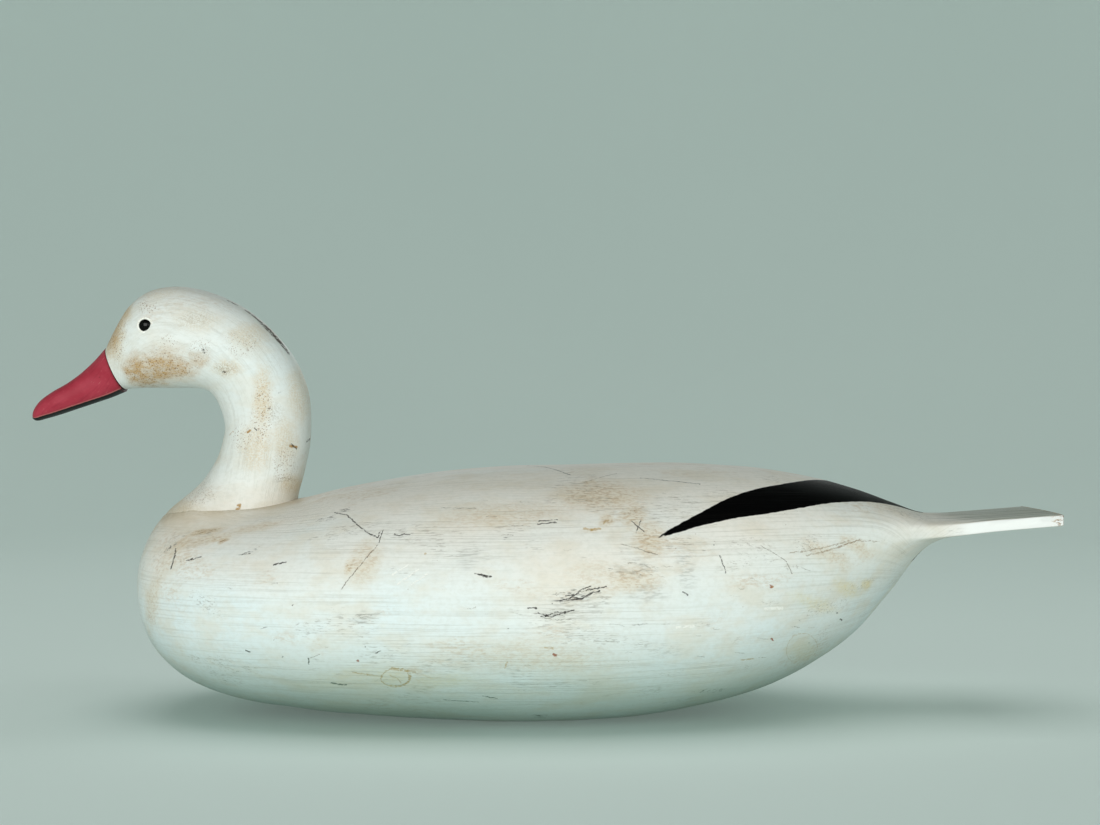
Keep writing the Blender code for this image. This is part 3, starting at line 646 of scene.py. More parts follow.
SMUDGE_GREY = srgb(138, 136, 128)
HEAD_SMUDGE_GREY = srgb(146, 136, 116)
PALE = srgb(246, 245, 238)
BLACK_PAINT = srgb(5, 5, 5)

# ---------------------------------------------------------------- wear on the body
# The left side's, in mm: x, distance down the side from the middle of the back. A stroke is its
# width and its points. A patch or blot is its strength, middle, half length and half height.
DARK_STROKES = (
    (0.9, (-230.7, 69.7), (-230.2, 77), (-231.8, 84.8)),
    (0.7, (-221, 84.8), (-216, 85.6), (-211.6, 86.1)), (1, (-218, 85.4), (-214, 85.8)),
    (1.1, (-162.5, 106.8), (-154.9, 107.6)), (0.6, (-185.8, 92.4), (-179.2, 93.2)),
    (0.8, (-128.5, 70.7), (-120.1, 77.1), (-112.5, 89.9), (-105.4, 98.9), (-98.1, 104.4), (-97.2, 100.6)),
    (0.6, (-97.2, 108.5), (-95.4, 98.6)),
    (0.8, (-88.2, 103.4), (-85.1, 105.3), (-82, 104.4), (-78.2, 105.7)),
    (0.9, (-37.2, 136.8), (-31.7, 138), (-27.4, 139.5)), (1.3, (-34.7, 137.5), (-29.8, 139.2)),
    (0.8, (1.7, 101.2), (12.9, 100.3)), (0.8, (0.9, 103.6), (12.2, 102.6)),
    (0.6, (59.5, 101.3), (66.7, 108.8)), (0.5, (65.2, 100.3), (61.7, 109.8)),
    (0.8, (-7, 9.4), (3.8, 18.6), (21.5, 45.4)), (0.5, (66.8, 52.8), (105, 60)),
    (1.3, (-127.2, 197.6), (-123, 200.1), (-118, 201.5)), (0.8, (-140.3, 174.2), (-139.9, 178.7)),
    (1, (-179.9, 157.2), (-177.4, 159.3)), (0.8, (-33, 220.9), (-29.3, 222.5), (-24.4, 223.8)),
    (0.6, (-57.4, 223.1), (-48.8, 225.1), (-36.4, 227.6)), (0.6, (113.6, 120), (117.2, 129.9)),
    (0.8, (90, 145.6), (93.1, 147.2)), (1, (-156.7, 168)), (1.2, (193.9, 135)),
    (1.2, (197.4, 140), (198.6, 141)), (0.8, (176, 166.5)), (0.7, (-149, 137)), (0.8, (-17, 171)),
    (0.8, (-98, 179), (-95, 178.5)),
    (0.8, (14.6, 154.7), (20.1, 153.3), (26.8, 149.3), (34.1, 147.3), (42.6, 145.8)),
    (1.1, (24.9, 153.7), (28.6, 153.1), (34.1, 149.4), (38.3, 148.3)),
    (0.7, (18.2, 151.6), (22.5, 151), (27.4, 147.9), (32.9, 145.7)),
    (0.8, (1.2, 161.9), (6.1, 164), (10.9, 161.6), (17.6, 161.9), (23.1, 160.1)),
    (0.6, (3, 164.1), (9.7, 164.4), (18.2, 161.2)), (0.8, (-4.9, 159), (0, 158.9)),
    (0.8, (-1.7, 255.5), (5.3, 258.5)),
)
RIDGE_LINES = (
    (0.7, (158.9, 106.4), (169.6, 101.1), (180.5, 94.4), (191.6, 87.2), (200, 80.7)),
    (0.6, (169.6, 103.7), (181.8, 96.4), (196.4, 85.1), (208.4, 75.3)),
    (0.6, (191.5, 89.4), (204.2, 78.8), (221.2, 70.4)),
)
FAINT_RING = (
    (0.5, *arc(171.5, 174, 12, 16, 120, 265)),
    (0.5, *arc(171.5, 174, 12, 16, 265, 400)),
)
HAIR_SCRATCHES = (
    (0.55, (-97.7, 110.2), (-119.1, 135.9)), (0.45, (52, 118), (74, 124)),
    (0.45, (140, 108), (156, 112.5), (160, 119)), (0.45, (30, 60), (52, 44)), (0.4, (-60, 84), (-38, 88)),
)
DARK_BLOTS = (
    (1, -234.9, 64.7, 5, 3.2), (0.8, -178.3, 91.4, 5.5, 3.2), (1, -122.5, 70, 6, 4.6),
    (0.7, -134, 76, 9, 3.5), (0.8, -76.8, 98.7, 2.6, 1.9), (0.8, -73.7, 109.1, 1.8, 1.5),
    (0.6, -19.8, 114.3, 3.5, 2.2), (0.55, 22, 152.3, 22, 7), (0.5, 8, 163, 15, 4), (1, 2.1, 252, 6.5, 5),
    (0.9, 110, 221, 15, 2.6),
)
SMUDGES = (
    (0.8, -210, 63, 14, 4), (0.8, 18.8, 161, 12, 6), (0.5, 27, 152, 16, 7), (1, -102.8, 154.8, 10.5, 4.5),
    (0.6, 59.3, 134.8, 17, 9), (0.5, 67.8, 147.9, 19, 9), (0.6, -40.5, 125.1, 9, 13),
    (0.5, 92, 130, 9, 22), (0.5, 22, 160, 30, 12), (0.4, 78, 184, 20, 8), (0.35, -215, 72, 16, 8),
)
BROWN_PATCHES = (
    (1, -213, 61, 17, 5), (0.9, -204, 73, 5, 4), (1, -198.7, 74.6, 4, 4.5), (0.55, -208, 70, 26, 8),
    (0.5, -180, 66, 26, 8), (0.8, -114.3, 121.9, 5.5, 8.5), (0.5, -105, 120, 14, 22),
    (0.8, 33, 108.6, 9, 2.2), (0.9, 44, 99.9, 6.5, 8), (0.9, 34.3, 59.5, 9, 4), (0.75, 60, 96, 14, 16),
    (0.65, 40, 76, 42, 26), (0.65, 70, 113, 15, 20), (0.6, 60, 140, 26, 12), (0.4, -20, 95, 60, 18),
    (0.35, 38, 140, 30, 16), (0.5, -227, 68, 10, 9), (0.5, -246, 96, 10, 24), (0.5, 184, 96, 24, 8),
    (0.5, 205, 82, 18, 7), (0.35, 0, 190, 70, 18),
)
OCHRE_STROKES = (
    (1.8, (-88.3, 191.5), (-83.4, 193.3), (-79.1, 194.4), (-74.8, 195.8)),
    (0.9, *arc(-86.5, 199.3, 9, 7.8, 110, 250)),
    (1.7, *arc(-86.5, 199.3, 9, 7.8, 110, -20)),
    (0.7, *arc(-86.5, 199.3, 9, 7.8, 250, 320, 4)),
    (0.6, (-90, 197), (-86, 199.5), (-83, 204)),
    (1, (-112.6, 191.1), (-104, 194.6), (-96, 196.8)),
    (1.3, (129.2, 187.6), (136.6, 185.6)),
    (1.2, (5.5, 183.4), (10.3, 184)),
    (1.1, (-17.7, 193.3), (-19, 197.6)),
    (1.2, (147, 131.4)),
    (1.2, (-68.2, 121.1)),
    (1.5, (29.6, 107.6), (34.5, 108.3), (39.5, 107.6)),
    (1.2, (41.4, 103.5), (44.6, 101)),
)
RUST_SPOTS = (
    (1.6, (10.9, 187.9), (12, 188.6)), (1.3, (147.7, 167.3), (149, 167.9)),
    (1.5, (145.8, 131.8), (147.2, 131.2)), (1.4, (-109.6, 182.8)),
)
YELLOW_STAINS = (
    (1, 213.8, 105.6, 6, 6), (0.7, 200, 114, 15, 9), (0.6, 176, 133, 24, 7), (0.6, -90, 199, 16, 12),
    (0.5, -60, 205, 34, 9), (0.4, 172, 176, 18, 20), (0.35, -112, 196, 50, 14),
)
PALE_CHIPS = (
    (1.8, (142.4, 146.9), (153.8, 143.2)), (1, (-88, 132), (-78, 127)), (1, (-84, 138), (-72, 131)),
    (0.9, (-76, 140), (-66, 134)), (1.2, (86, 168), (97, 166)),
)
FINE_CHECKS = (
    # x, distance down the side, half length, half height, how many, longest
    (24, 151, 18, 6, 14, 9),
    (10, 163, 14, 5, 9, 8),
    (62, 134, 18, 6, 12, 7),
    (-124, 71, 7, 4, 10, 5),
    (-132, 77, 9, 3, 7, 5),
    (110, 221, 15, 2.5, 10, 5),
    (2, 254, 7, 4, 8, 8),
    (-102.8, 154.8, 9, 3.5, 7, 7),
    (-60, 190, 90, 34, 14, 8),
    (70, 185, 90, 30, 16, 9),
    (-150, 150, 70, 50, 10, 5),
    (0, 105, 150, 36, 18, 9),
    (150, 150, 50, 40, 10, 7),
    (30, 60, 120, 30, 8, 12),
)
RIGHT_SPAN = (-235.0, 215.0)


def tinted(colour, strength, marks):
    return [(colour, strength, *mark) for mark in marks]


def fine_checks(seed, regions, side=1):
    """Short hair-fine checks in the paint, along the grain, scattered over regions of the surface."""
    draw = random.Random(seed)
    marks = []
    for x, y, across, along, count, longest in regions:
        for _ in range(count):
            turn, far = draw.uniform(0, 2 * math.pi), draw.random() ** 0.8
            start = (x + across * far * math.cos(turn), side * (y + along * far * math.sin(turn)))
            reach, lean = draw.uniform(1.2, longest), draw.gauss(0, 0.09)
            middle = (start[0] + reach * 0.5, start[1] + reach * 0.5 * lean + draw.gauss(0, 0.25))
            end = (start[0] + reach, start[1] + reach * lean + draw.gauss(0, 0.4))
            colour = INK if draw.random() < 0.3 else HAIRLINE
            marks.append((colour, draw.uniform(0.18, 0.55), draw.uniform(0.25, 0.45), start, middle, end))
    return marks


def chance_strokes(seed, span_x, span_y, count, width, length, slope=0.35):
    """Random short strokes over a region of the right side, nearly level."""
    draw = random.Random(seed)
    marks = []
    for _ in range(count):
        x, y = draw.uniform(*span_x), -draw.uniform(*span_y)
        reach, lean = draw.uniform(*length), draw.gauss(0, slope)
        end = (x + reach * math.cos(lean), y + reach * math.sin(lean))
        marks.append((draw.uniform(*width), (x, y), end))
    return marks


def chance_patches(seed, span_y, count, size, strength):
    """Random soft patches over the right side, wider than they are high."""
    draw = random.Random(seed)
    marks = []
    for _ in range(count):
        across = draw.uniform(*size)
        middle = (draw.uniform(*RIGHT_SPAN), -draw.uniform(*span_y))
        marks.append((draw.uniform(*strength), *middle, across, across * draw.uniform(0.3, 0.8)))
    return marks


def body_strokes():
    scratches = chance_strokes(5, (-200.0, 180.0), (40.0, 150.0), 5, (0.4, 0.6), (16.0, 34.0), 0.9)
    runs = chance_strokes(34, RIGHT_SPAN, (120.0, 215.0), 8, (1.0, 1.7), (5.0, 16.0), 0.6)
    nicks = chance_strokes(3, RIGHT_SPAN, (30.0, 215.0), 20, (0.7, 1.5), (3.0, 14.0))
    return [
        *fine_checks(1, FINE_CHECKS),
        *fine_checks(2, FINE_CHECKS[3:], -1),
        *tinted(HAIRLINE, 0.7, HAIR_SCRATCHES),
        *tinted(RIDGE_BROWN, 0.5, RIDGE_LINES),
        *tinted(OCHRE, 0.35, FAINT_RING),
        *tinted(HAIRLINE, 0.75, scratches),
        *tinted(OCHRE, 0.6, OCHRE_STROKES),
        *tinted(OCHRE, 0.85, runs),
        *tinted(PALE, 0.9, PALE_CHIPS),
        *tinted(INK, 0.9, DARK_STROKES),
        *tinted(INK, 0.9, nicks),
        *tinted(RUST, 0.9, RUST_SPOTS),
    ]


BODY_PATCHES = (
    # name, left side, right side
    ("brown", BROWN_PATCHES, chance_patches(21, (50.0, 170.0), 14, (6.0, 34.0), (0.35, 0.9))),
    ("smudge", SMUDGES, chance_patches(13, (60.0, 190.0), 7, (8.0, 22.0), (0.35, 0.8))),
    ("yellow", YELLOW_STAINS, chance_patches(55, (110.0, 210.0), 6, (8.0, 40.0), (0.35, 0.8))),
    ("blot", DARK_BLOTS, chance_patches(8, (60.0, 230.0), 9, (2.5, 15.0), (0.7, 1.0))),
)

# ---------------------------------------------------------------- wear on the head and neck
# Places are (x, z), in mm. Patches show on both sides, strokes on the left.
CHEEKS = (
    (0.75, -285, 254, 9, 20), (0.5, -279, 267, 8, 12), (0.4, -246, 241, 22, 9), (1, -256, 229.5, 26, 15),
    (1, -267, 228.5, 13, 16), (1, -262, 226, 16, 13), (0.9, -248, 233, 16, 12), (0.85, -238, 230, 18, 11),
    (0.55, -224, 236, 12, 9),
)
FRECKLES = (
    (0.8, -259, 271.7, 11, 9), (0.9, -279, 252, 9, 26), (0.55, -244, 248, 10, 7),
    (0.55, -222, 244, 12, 9), (0.45, -205, 229, 12, 6), (0.7, -182, 200, 11, 32),
    (0.6, -196, 184, 12, 14), (0.6, -230, 147, 28, 12), (0.5, -168, 165, 10, 24),
    (0.5, -196, 246, 18, 14),
)
HEAD_STAINS = (
    (1, -281, 256, 9, 30), (1, -276, 268, 8, 10), (0.8, -286, 244, 8, 14), (0.85, -182, 210, 9, 32),
    (0.7, -186, 178, 16, 24), (0.55, -192, 252, 20, 12), (0.7, -205, 230, 14, 8),
    (0.8, -164.4, 152, 9, 10), (0.6, -216, 182, 6, 26), (0.7, -240, 137, 26, 9), (0.6, -168, 182, 12, 22),
    (0.6, -160, 215, 10, 26), (0.45, -255, 282, 30, 8), (0.4, -225, 262, 24, 12),
)
HEAD_SMUDGES = (
    (0.7, -207.5, 229.5, 9, 6), (0.5, -173, 200, 7, 12), (0.7, -168, 156, 8, 3), (0.4, -228, 262, 16, 7),
    (0.5, -222, 160, 6, 22),
)
HEAD_PATCHES = (
    ("cheek", CHEEKS),
    ("freckle", FRECKLES),
    ("stain", HEAD_STAINS),
    ("smudge", HEAD_SMUDGES),
)
HEAD_OCHRE = (
    (2.6, (-196.7, 137.4), (-196.2, 140.2)), (1.6, (-164.9, 178.8), (-160.8, 177.1)),
    (1.2, (-193.4, 187.6), (-190, 189.2)), (1, (-206, 186), (-203, 188)),
)
HEAD_INK = (
    (1.2, (-220.8, 241.8), (-220.2, 240.4)), (1, (-208.6, 227.9), (-206.8, 227.4)),
    (1.3, (-155.6, 181.6), (-151.8, 182.6)), (0.9, (-164, 179.4), (-161, 176.6)),
    (0.8, (-187, 190.4), (-185.4, 189.6)), (0.7, (-178, 203), (-176.6, 203.4)),
    (0.7, (-172, 214), (-171, 214.6)),
)
# Along the ridge of the nape, as (x, z) of the silhouette.
NAPE_INK = (
    (3, (-196, 267), (-191, 263.6), (-186, 259.6)), (6, (-186, 259.6), (-181, 255.4), (-177, 251)),
    (4.5, (-177, 251), (-172.5, 246), (-169.5, 241.6)), (2, (-208, 276), (-203, 273)),
)
HEAD_STROKES = (
    # colour, strength, strokes, whether they lie along the ridge
    (srgb(168, 124, 52), 0.9, HEAD_OCHRE, False),
    (srgb(52, 42, 32), 0.9, HEAD_INK, False),
    (srgb(72, 58, 44), 0.8, NAPE_INK, True),
)


def head_strokes(points, along, around):
    """The head's strokes moved to its unrolled surface, where a place is (along, round from the nape)."""
    left = np.flatnonzero(points[:, 1] < -0.5)
    nape = np.flatnonzero(np.abs(around) < 3)

    def unroll(spot, ridge):
        near = nape if ridge else left
        k = near[np.hypot(points[near, 0] - spot[0], points[near, 2] - spot[1]).argmin()]
        return (along[k], NAPE_OFFSET if ridge else around[k])

    marks = []
    for colour, strength, group, ridge in HEAD_STROKES:
        for width, *spots in group:
            marks.append((colour, strength, width, *[unroll(spot, ridge) for spot in spots]))
    return marks


# ---------------------------------------------------------------- paints
def unrolled(shade, across, along, wobble, grain):
    """The place on the unrolled surface, made a little unsteady, as the strokes are by hand."""
    drift = shade.noise_node((grain,) * 3, 11, 2, 0.6, shade.place).outputs["Color"]
    unsteady = shade.vector("SUBTRACT", drift, {1: (0.5, 0.5, 0.5)})
    others = {1: (wobble, wobble, 0.0), 2: shade.flat(across, along)}
    return shade.vector("MULTIPLY", shade.vector("MULTIPLY_ADD", unsteady, others), {1: FLAT})


def age_white(shade, grain_place, grain, line_share, film_share, warmth):
    """Lays the old white paint without its marks: gives (height in mm, grain lines, unevenness)."""
    broad = shade.noise((95, 60, 60), 1, 3)
    fine = shade.noise((3.2, 2.4, 2.4), 2, 3, 0.6)
    # Warmer white higher up; lower down a cooler, greener white, partly a painted green reflection.
    warm = shade.math("ADD", shade.z.step(45, 150), (broad - 0.5) * 1.8, clamp=True)
    shade.colour = WHITE_COOL_AND_REFLECTION
    shade.cover(warm * warmth, WHITE_WARM)
    clouds = shade.noise((30, 16, 16), 7, 3, 0.6).step(0.42, 0.7)
    shade.cover(clouds * (0.4 * film_share), CLOUD_CREAM)
    shade.cover(fine.step(0.4, 0.7) * 0.2, WHITE_SHADE)
    lines = shade.noise(grain, 3, 2, 0.55, where=grain_place).step(0.5, 0.66)
    lines = lines * (shade.noise((80, 30, 30), 4, 2).step(0.36, 0.6) * 0.7 + 0.3)
    shade.cover(lines * line_share, GRAIN_GREY)
    film = shade.noise((60, 60, 30), 5, 3, 0.6).step(0.52, 0.68)
    film_grit = shade.noise((5, 2.2, 1.8), 6, 4, 0.7).step(0.44, 0.64)
    shade.cover(film * film_grit * (0.34 * film_share), FILM_BROWN)
    dots = shade.specks(4.2, 2, 0.2, 0.42) * shade.noise((50, 40, 30), 9, 2).step(0.46, 0.6)
    shade.cover(dots * 0.6, STAIN_BROWN)
    shade.cover(shade.specks(19.0, 5, 0.3, 0.55) * 0.75, INK)
    return lines * -0.1 + fine * 0.07, lines, broad


def seat_dirt_and_shade(shade, seat, grit, amount):
    """Lays the haze that has settled in the hollow round the foot of the neck, and painted shade in that
    hollow.
    """
    uneven = shade.noise((22, 22, 9), 71, 3, 0.6).step(0.32, 0.62)
    shade.cover(seat.step(24.0, 0.0) * (uneven * 0.5 + 0.12) * amount, SEAT_HAZE_AND_SHADE)
    shade.cover(seat.step(7.0, 0.0) * (grit * 0.3 + 0.2) * amount, SEAT_DIRT_AND_SHADE)


def body_paint():
    shade = Shade("aged_body_paint")
    place = unrolled(shade, shade.x, shade.named("girth"), 2.2, 2.6)
    level = unrolled(shade, shade.x, shade.named("level"), 1.0, 30.0)
    height, lines, broad = age_white(shade, level, (80, 0.9, 1.0), 0.18, 1.0, 1.0)
    breaks = shade.noise((2.2, 1.2, 1.2), 12, 3, 0.7).step(0.34, 0.52)
    grit = shade.noise((3.4, 1.5, 1.5), 13, 4, 0.7).step(0.46, 0.6)
    streaks = shade.noise((16, 1.2, 1.2), 14, 3, 0.6).step(0.48, 0.6)
    cracks = shade.noise((7.5, 0.85, 0.85), 15, 3, 0.6).step(0.56, 0.61)

    shade.cover(shade.named("smudge") * (streaks * 0.8 + 0.15) * 0.75, SMUDGE_GREY)
    shade.cover(shade.named("yellow") * (grit * 0.4 + 0.5) * 0.7, YELLOW)
    brown = shade.named("brown")
    shade.cover(brown * 0.6, FAINT_BROWN)
    shade.cover(brown * grit * 0.6, FILM_BROWN)
    shade.cover(brown.step(0.4, 0.95) * streaks * grit * 0.7, STAIN_BROWN)
    blot = shade.named("blot")
    shade.cover(blot.step(0.1, 0.5) * cracks * 0.85, INK)
    shade.cover(blot.step(0.65, 0.95) * grit * 0.8, INK)
    shade.cover(shade.noise((46, 26, 18), 16, 2).step(0.57, 0.64) * cracks * 0.32, HAIRLINE)
    ink = draw_strokes(shade, place, breaks)

    seat = shade.named("seat")
    seat_dirt_and_shade(shade, seat, grit, 1.0)
    # Painted shadow in the crease under the nape, where the neck meets the body.
    shade.cover(seat.step(0.9, 0.2) * shade.x.step(-215, -180) * 0.6, SEAT_SHADOW_LINE)

    # Grime from the water on the underside, with painted shade and a painted green reflection: darker and
    # greener towards the bottom.
    shade.cover(shade.z.step(75, 2) * (broad * 0.5 + 0.5) * 0.82, GRIME_AND_SHADE_GREEN)

    # The tail: open lengthwise grain and painted shade on its top, a painted highlight on its sides, bare
    # brown wood where its end is worn.
    reeds = shade.noise((120, 1.7, 40), 17, 2, 0.6).step(0.46, 0.58)
    reeds = reeds * shade.x.step(255, 285) * shade.z.step(127.5, 130.5)
    shade.cover(reeds * 0.75, srgb(104, 104, 88))
    # Painted highlight on the tail's sides, where they face left or right.
    painted_side_light = shade.sideways().step(0.55, 0.85) * shade.x.step(262, 285)
    shade.cover(painted_side_light * 0.85, srgb(252, 252, 250))
    # Painted shade on the tail's top, away from its lit sides.
    top = shade.x.step(262, 292) * shade.z.step(129, 131.5) * painted_side_light.step(0.4, 0.0)
    shade.cover(top * 0.55, srgb(150, 158, 142))
    ragged = shade.x + (grit - 0.5) * 4.0
    corner = ragged.step(336.0, 341.0) * shade.y.step(-43.5, -45.5) * grit
    growth = shade.noise((6, 14, 1.3), 18, 3, 0.6).step(0.35, 0.65)
    wood = shade.mix(growth, srgb(112, 72, 40), srgb(198, 160, 114))
    shade.cover(ragged.step(341.2, 343.2).most(corner) * 0.85, wood)

    # The black wing tips, brushed on over the white.
    unsteady = (shade.noise((5, 5, 5), 19, 2) - 0.5) * 0.9
    wing = (shade.named("wing") + unsteady).step(-0.2, 0.2)
    black = shade.mix(lines.step(0.2, 1.0) * 0.3, BLACK_PAINT, srgb(18, 16, 14))
    worn = shade.specks(9.0, 8, 0.1, 0.5) * broad.step(0.4, 0.5)
    shade.cover(wing, shade.mix(worn, black, srgb(120, 96, 66)))

    height = height + ink * -0.14 + reeds * -0.22 + wing * 0.06
    rough = broad * 0.16 + 0.42 + ink * 0.2
    return shade.finish(rough, height, Specular_IOR_Level=wing * -0.12 + 0.15)


def head_paint():
    shade = Shade("aged_head_paint")
    place = unrolled(shade, shade.named("along"), shade.named("around"), 2.0, 2.6)
    seat = shade.named("seat")
    warmth = seat.step(30.0, 2.0) * 0.5 + 0.5
    height, _, broad = age_white(shade, place, (22, 1.0, 1.0), 0.13, 0.7, warmth)
    grit = shade.noise((1.1, 1.1, 0.9), 22, 3, 0.7).step(0.42, 0.6)
    breaks = shade.noise((2.0, 2.0, 2.0), 23, 3, 0.7).step(0.36, 0.54)
    shade.cover(shade.named("stain") * (grit * 0.5 + 0.3), STAIN_CREAM)
    uneven = shade.noise((7, 7, 5), 24, 3, 0.65).step(0.34, 0.6)
    sprayed = shade.named("cheek") * (uneven * 0.45 + 0.55)
    shade.cover(sprayed * (grit * 0.3 + 0.7), CHEEK_TAN)
    freckles = shade.specks(1.2, 3, 0.75, 0.42).most(shade.specks(1.9, 6, 0.6, 0.55))
    freckles = freckles * sprayed.most(shade.named("freckle")).step(0.02, 0.75)
    shade.cover(freckles * 0.85, FRECKLE_BROWN)
    shade.cover(shade.named("smudge") * grit * 0.6, HEAD_SMUDGE_GREY)
    ink = draw_strokes(shade, place, breaks)
    seat_dirt_and_shade(shade, seat, grit, 0.3)
    height = height + ink * -0.14 + freckles * -0.06
    return shade.finish(broad * 0.18 + 0.4 + ink * 0.2, height, Specular_IOR_Level=0.3)


def bill_paint():
    shade = Shade("aged_bill_paint")
    along = shade.named("along")
    flow = shade.flat(along, shade.named("around"))
    broad = shade.noise((18, 12, 12), 31, 3)
    streaks = shade.noise((16, 1.3, 1.0), 32, 3, 0.6, where=flow)
    fine = shade.noise((2.2, 2.2, 2.2), 33, 3, 0.6)
    shade.colour = shade.mix(broad.step(0.3, 0.7), srgb(162, 46, 62), srgb(174, 58, 74))
    shade.cover(streaks.step(0.5, 0.7) * 0.3, srgb(126, 34, 48))
    shade.cover(fine.step(0.55, 0.75) * 0.16, srgb(204, 104, 112))
    scuffs = shade.noise((9, 0.9, 1.0), 34, 3, 0.6, where=flow).step(0.64, 0.7)
    scuffs = scuffs * broad.step(0.5, 0.62)
    shade.cover(scuffs * 0.6, srgb(224, 176, 168))
    low = shade.named("low") + (fine - 0.5) * 0.5
    # Painted highlight along the lit lower edge of the upper bill.
    shade.cover(low.step(2.8, 2.2) * 0.5, srgb(214, 140, 130))
    # The dark lower edge: partly the lower mandible's black paint, partly painted shade under the bill.
    shade.cover(low.step(2.15, 1.8), srgb(10, 14, 12))
    shade.cover(along.step(2.0, 0.3) * 0.35, srgb(108, 34, 40))
    shade.cover(shade.specks(6.0, 4, 0.25, 0.55) * 0.7, srgb(60, 24, 26))
    height = streaks * 0.1 + fine * 0.06 - scuffs * 0.08
    return shade.finish(broad * 0.2 + 0.4, height, Specular_IOR_Level=0.2)


def putty_paint():
    shade = Shade("painted_putty")
    fine = shade.noise((1.1, 1.1, 1.1), 41, 3, 0.6)
    shade.colour = shade.mix(fine.step(0.4, 0.75), PALE, srgb(214, 206, 186))
    return shade.finish(fine * 0.2 + 0.45, fine * 0.1)


def eye_glass():
    shade = Shade("black_glass")
    swirl = shade.noise((2.5, 2.5, 2.5), 42, 2)
    shade.colour = shade.mix(swirl, srgb(3, 3, 3), srgb(8, 7, 6))
    return shade.finish(swirl * 0.05 + 0.1, Specular_IOR_Level=0.14)


def old_brass():
    shade = Shade("old_brass")
    broad = shade.noise((4, 4, 4), 51, 3, 0.6)
    fine = shade.noise((0.7, 0.7, 0.7), 52, 3, 0.7)
    shade.colour = shade.mix(broad.step(0.35, 0.65), srgb(186, 150, 84), srgb(104, 84, 52))
    shade.cover(fine.step(0.62, 0.78), srgb(92, 128, 108))
    return shade.finish(broad * 0.35 + 0.3, fine * 0.05, Metallic=0.9)


def old_lead():
    shade = Shade("old_lead")
    broad = shade.noise((22, 18, 18), 61, 3, 0.6)
    fine = shade.noise((1.4, 1.4, 1.4), 62, 4, 0.65)
    scratches = shade.noise((26, 0.9, 2), 63, 2, 0.6).step(0.62, 0.7)
    shade.colour = shade.mix(broad.step(0.35, 0.65), srgb(116, 118, 120), srgb(152, 154, 152))
    shade.cover(fine.step(0.55, 0.75) * 0.5, srgb(196, 196, 188))
    shade.cover(scratches * 0.6, srgb(86, 88, 92))
    return shade.finish(fine * 0.25 + 0.42, fine * 0.16 - scratches * 0.12, Metallic=0.55)


def bare_dowel():
    shade = Shade("bare_dowel")
    fibres = shade.noise((0.7, 0.7, 16), 71, 3, 0.6)
    broad = shade.noise((6, 6, 30), 72, 2)
    shade.colour = shade.mix(fibres.step(0.35, 0.7), srgb(206, 168, 116), srgb(150, 108, 64))
    shade.cover(broad.step(0.4, 0.7) * 0.4, srgb(122, 82, 46))
    return shade.finish(fibres * 0.2 + 0.6, fibres * 0.1)


# ---------------------------------------------------------------- the skins
def level_of(ring, girth):
    """How far down the section from LEVEL_Z each point is, for a grain that runs level."""
    left = np.flatnonzero(girth >= 0)
    left = left[np.argsort(girth[left])]
    height = np.clip(LEVEL_Z, ring[:, 2].min() + 1, ring[:, 2].max() - 1)
    return np.abs(girth) - np.interp(-height, -ring[left, 2], girth[left])


def wing_depth(points):
    """How far inside the black wing tip each point is, in mm; negative outside."""
    x, y = points[:, 0], np.abs(points[:, 1])
    edges = []
    for outline, sign in ((WING_INNER, 1), (WING_OUTER, -1)):
        curve = fair(with_ends(outline), WING_POINTS, (0, 1))
        across = np.interp(x, curve[:, 0], curve[:, 1])
        slope = np.interp(x, curve[:, 0], np.gradient(curve[:, 1], curve[:, 0]))
        edges.append(sign * (y - across) / np.hypot(1, slope))
    start, end = WING_OUTER[0][0], WING_OUTER[-1][0]
    depth = np.minimum(np.minimum(*edges), np.minimum(x - start + 2, end - x))
    return np.where(points[:, 2] > WING_LOWEST_Z, depth, NOT_WING)


def worn_end(end, x_end):
    """The tail's last rings, which draw in as they near its end, so that its edges are worn round."""
    outward = np.roll(end, -1, axis=0) - np.roll(end, 1, axis=0)
    outward = np.column_stack([np.zeros(len(end)), -outward[:, 2], outward[:, 1]])
    outward /= np.linalg.norm(outward, axis=1)[:, None]
    outward *= np.sign(((end - end.mean(axis=0)) * outward).sum(axis=1))[:, None]
    rings = []
    for k in range(TAIL_STEPS + 1):
        angle = math.pi / 2 * k / TAIL_STEPS
        ring = end - outward * TAIL_ROUNDING * (1 - math.cos(angle))
        ring[:, 0] = x_end - TAIL_ROUNDING * (1 - math.sin(angle))
        rings.append(ring)
    return rings


def body_mesh():
    """The body's painted skin, with its tail, and the girth and level of each of its points."""
    rows = body_rows()
    rings = []
    for row in rows[2:]:
        ring = body_outline(row)
        rings.append(np.column_stack([np.full(len(ring), row[0]), ring]))
    x_end = rows[-1][0]
    end = rings[-1]
    rings = [ring for ring in rings if ring[0, 0] < x_end - TAIL_ROUNDING - 0.3]
    rings += worn_end(end, x_end)
    girths = [-girth_of(ring[:, 1:]) for ring in rings]
    levels = [level_of(ring, girth) for ring, girth in zip(rings, girths)]
    caps = [[0.0, 0.0]]
    mesh = grid_mesh("body_skin", rings)
    return mesh, np.concatenate(girths + caps), np.concatenate(levels + caps)


def ribbed_mesh(name, rows, sections, sides, left_off=0):
    """A skin through ribs: (mesh, ribs, rings, each vertex's distance along and round)."""
    ribs = fair(with_ends(rows), sections, (0, 1, 2, 3))[: sections - left_off]
    rings = np.array([rib_outline(rib, sides) for rib in ribs])
    along = run_lengths(rings.mean(axis=1))
    around = np.append([girth_of(ring) for ring in rings], [0.0, 0.0])
    mesh = grid_mesh(name, rings)
    return mesh, ribs, rings, np.append(np.repeat(along, sides), [0.0, along[-1]]), around


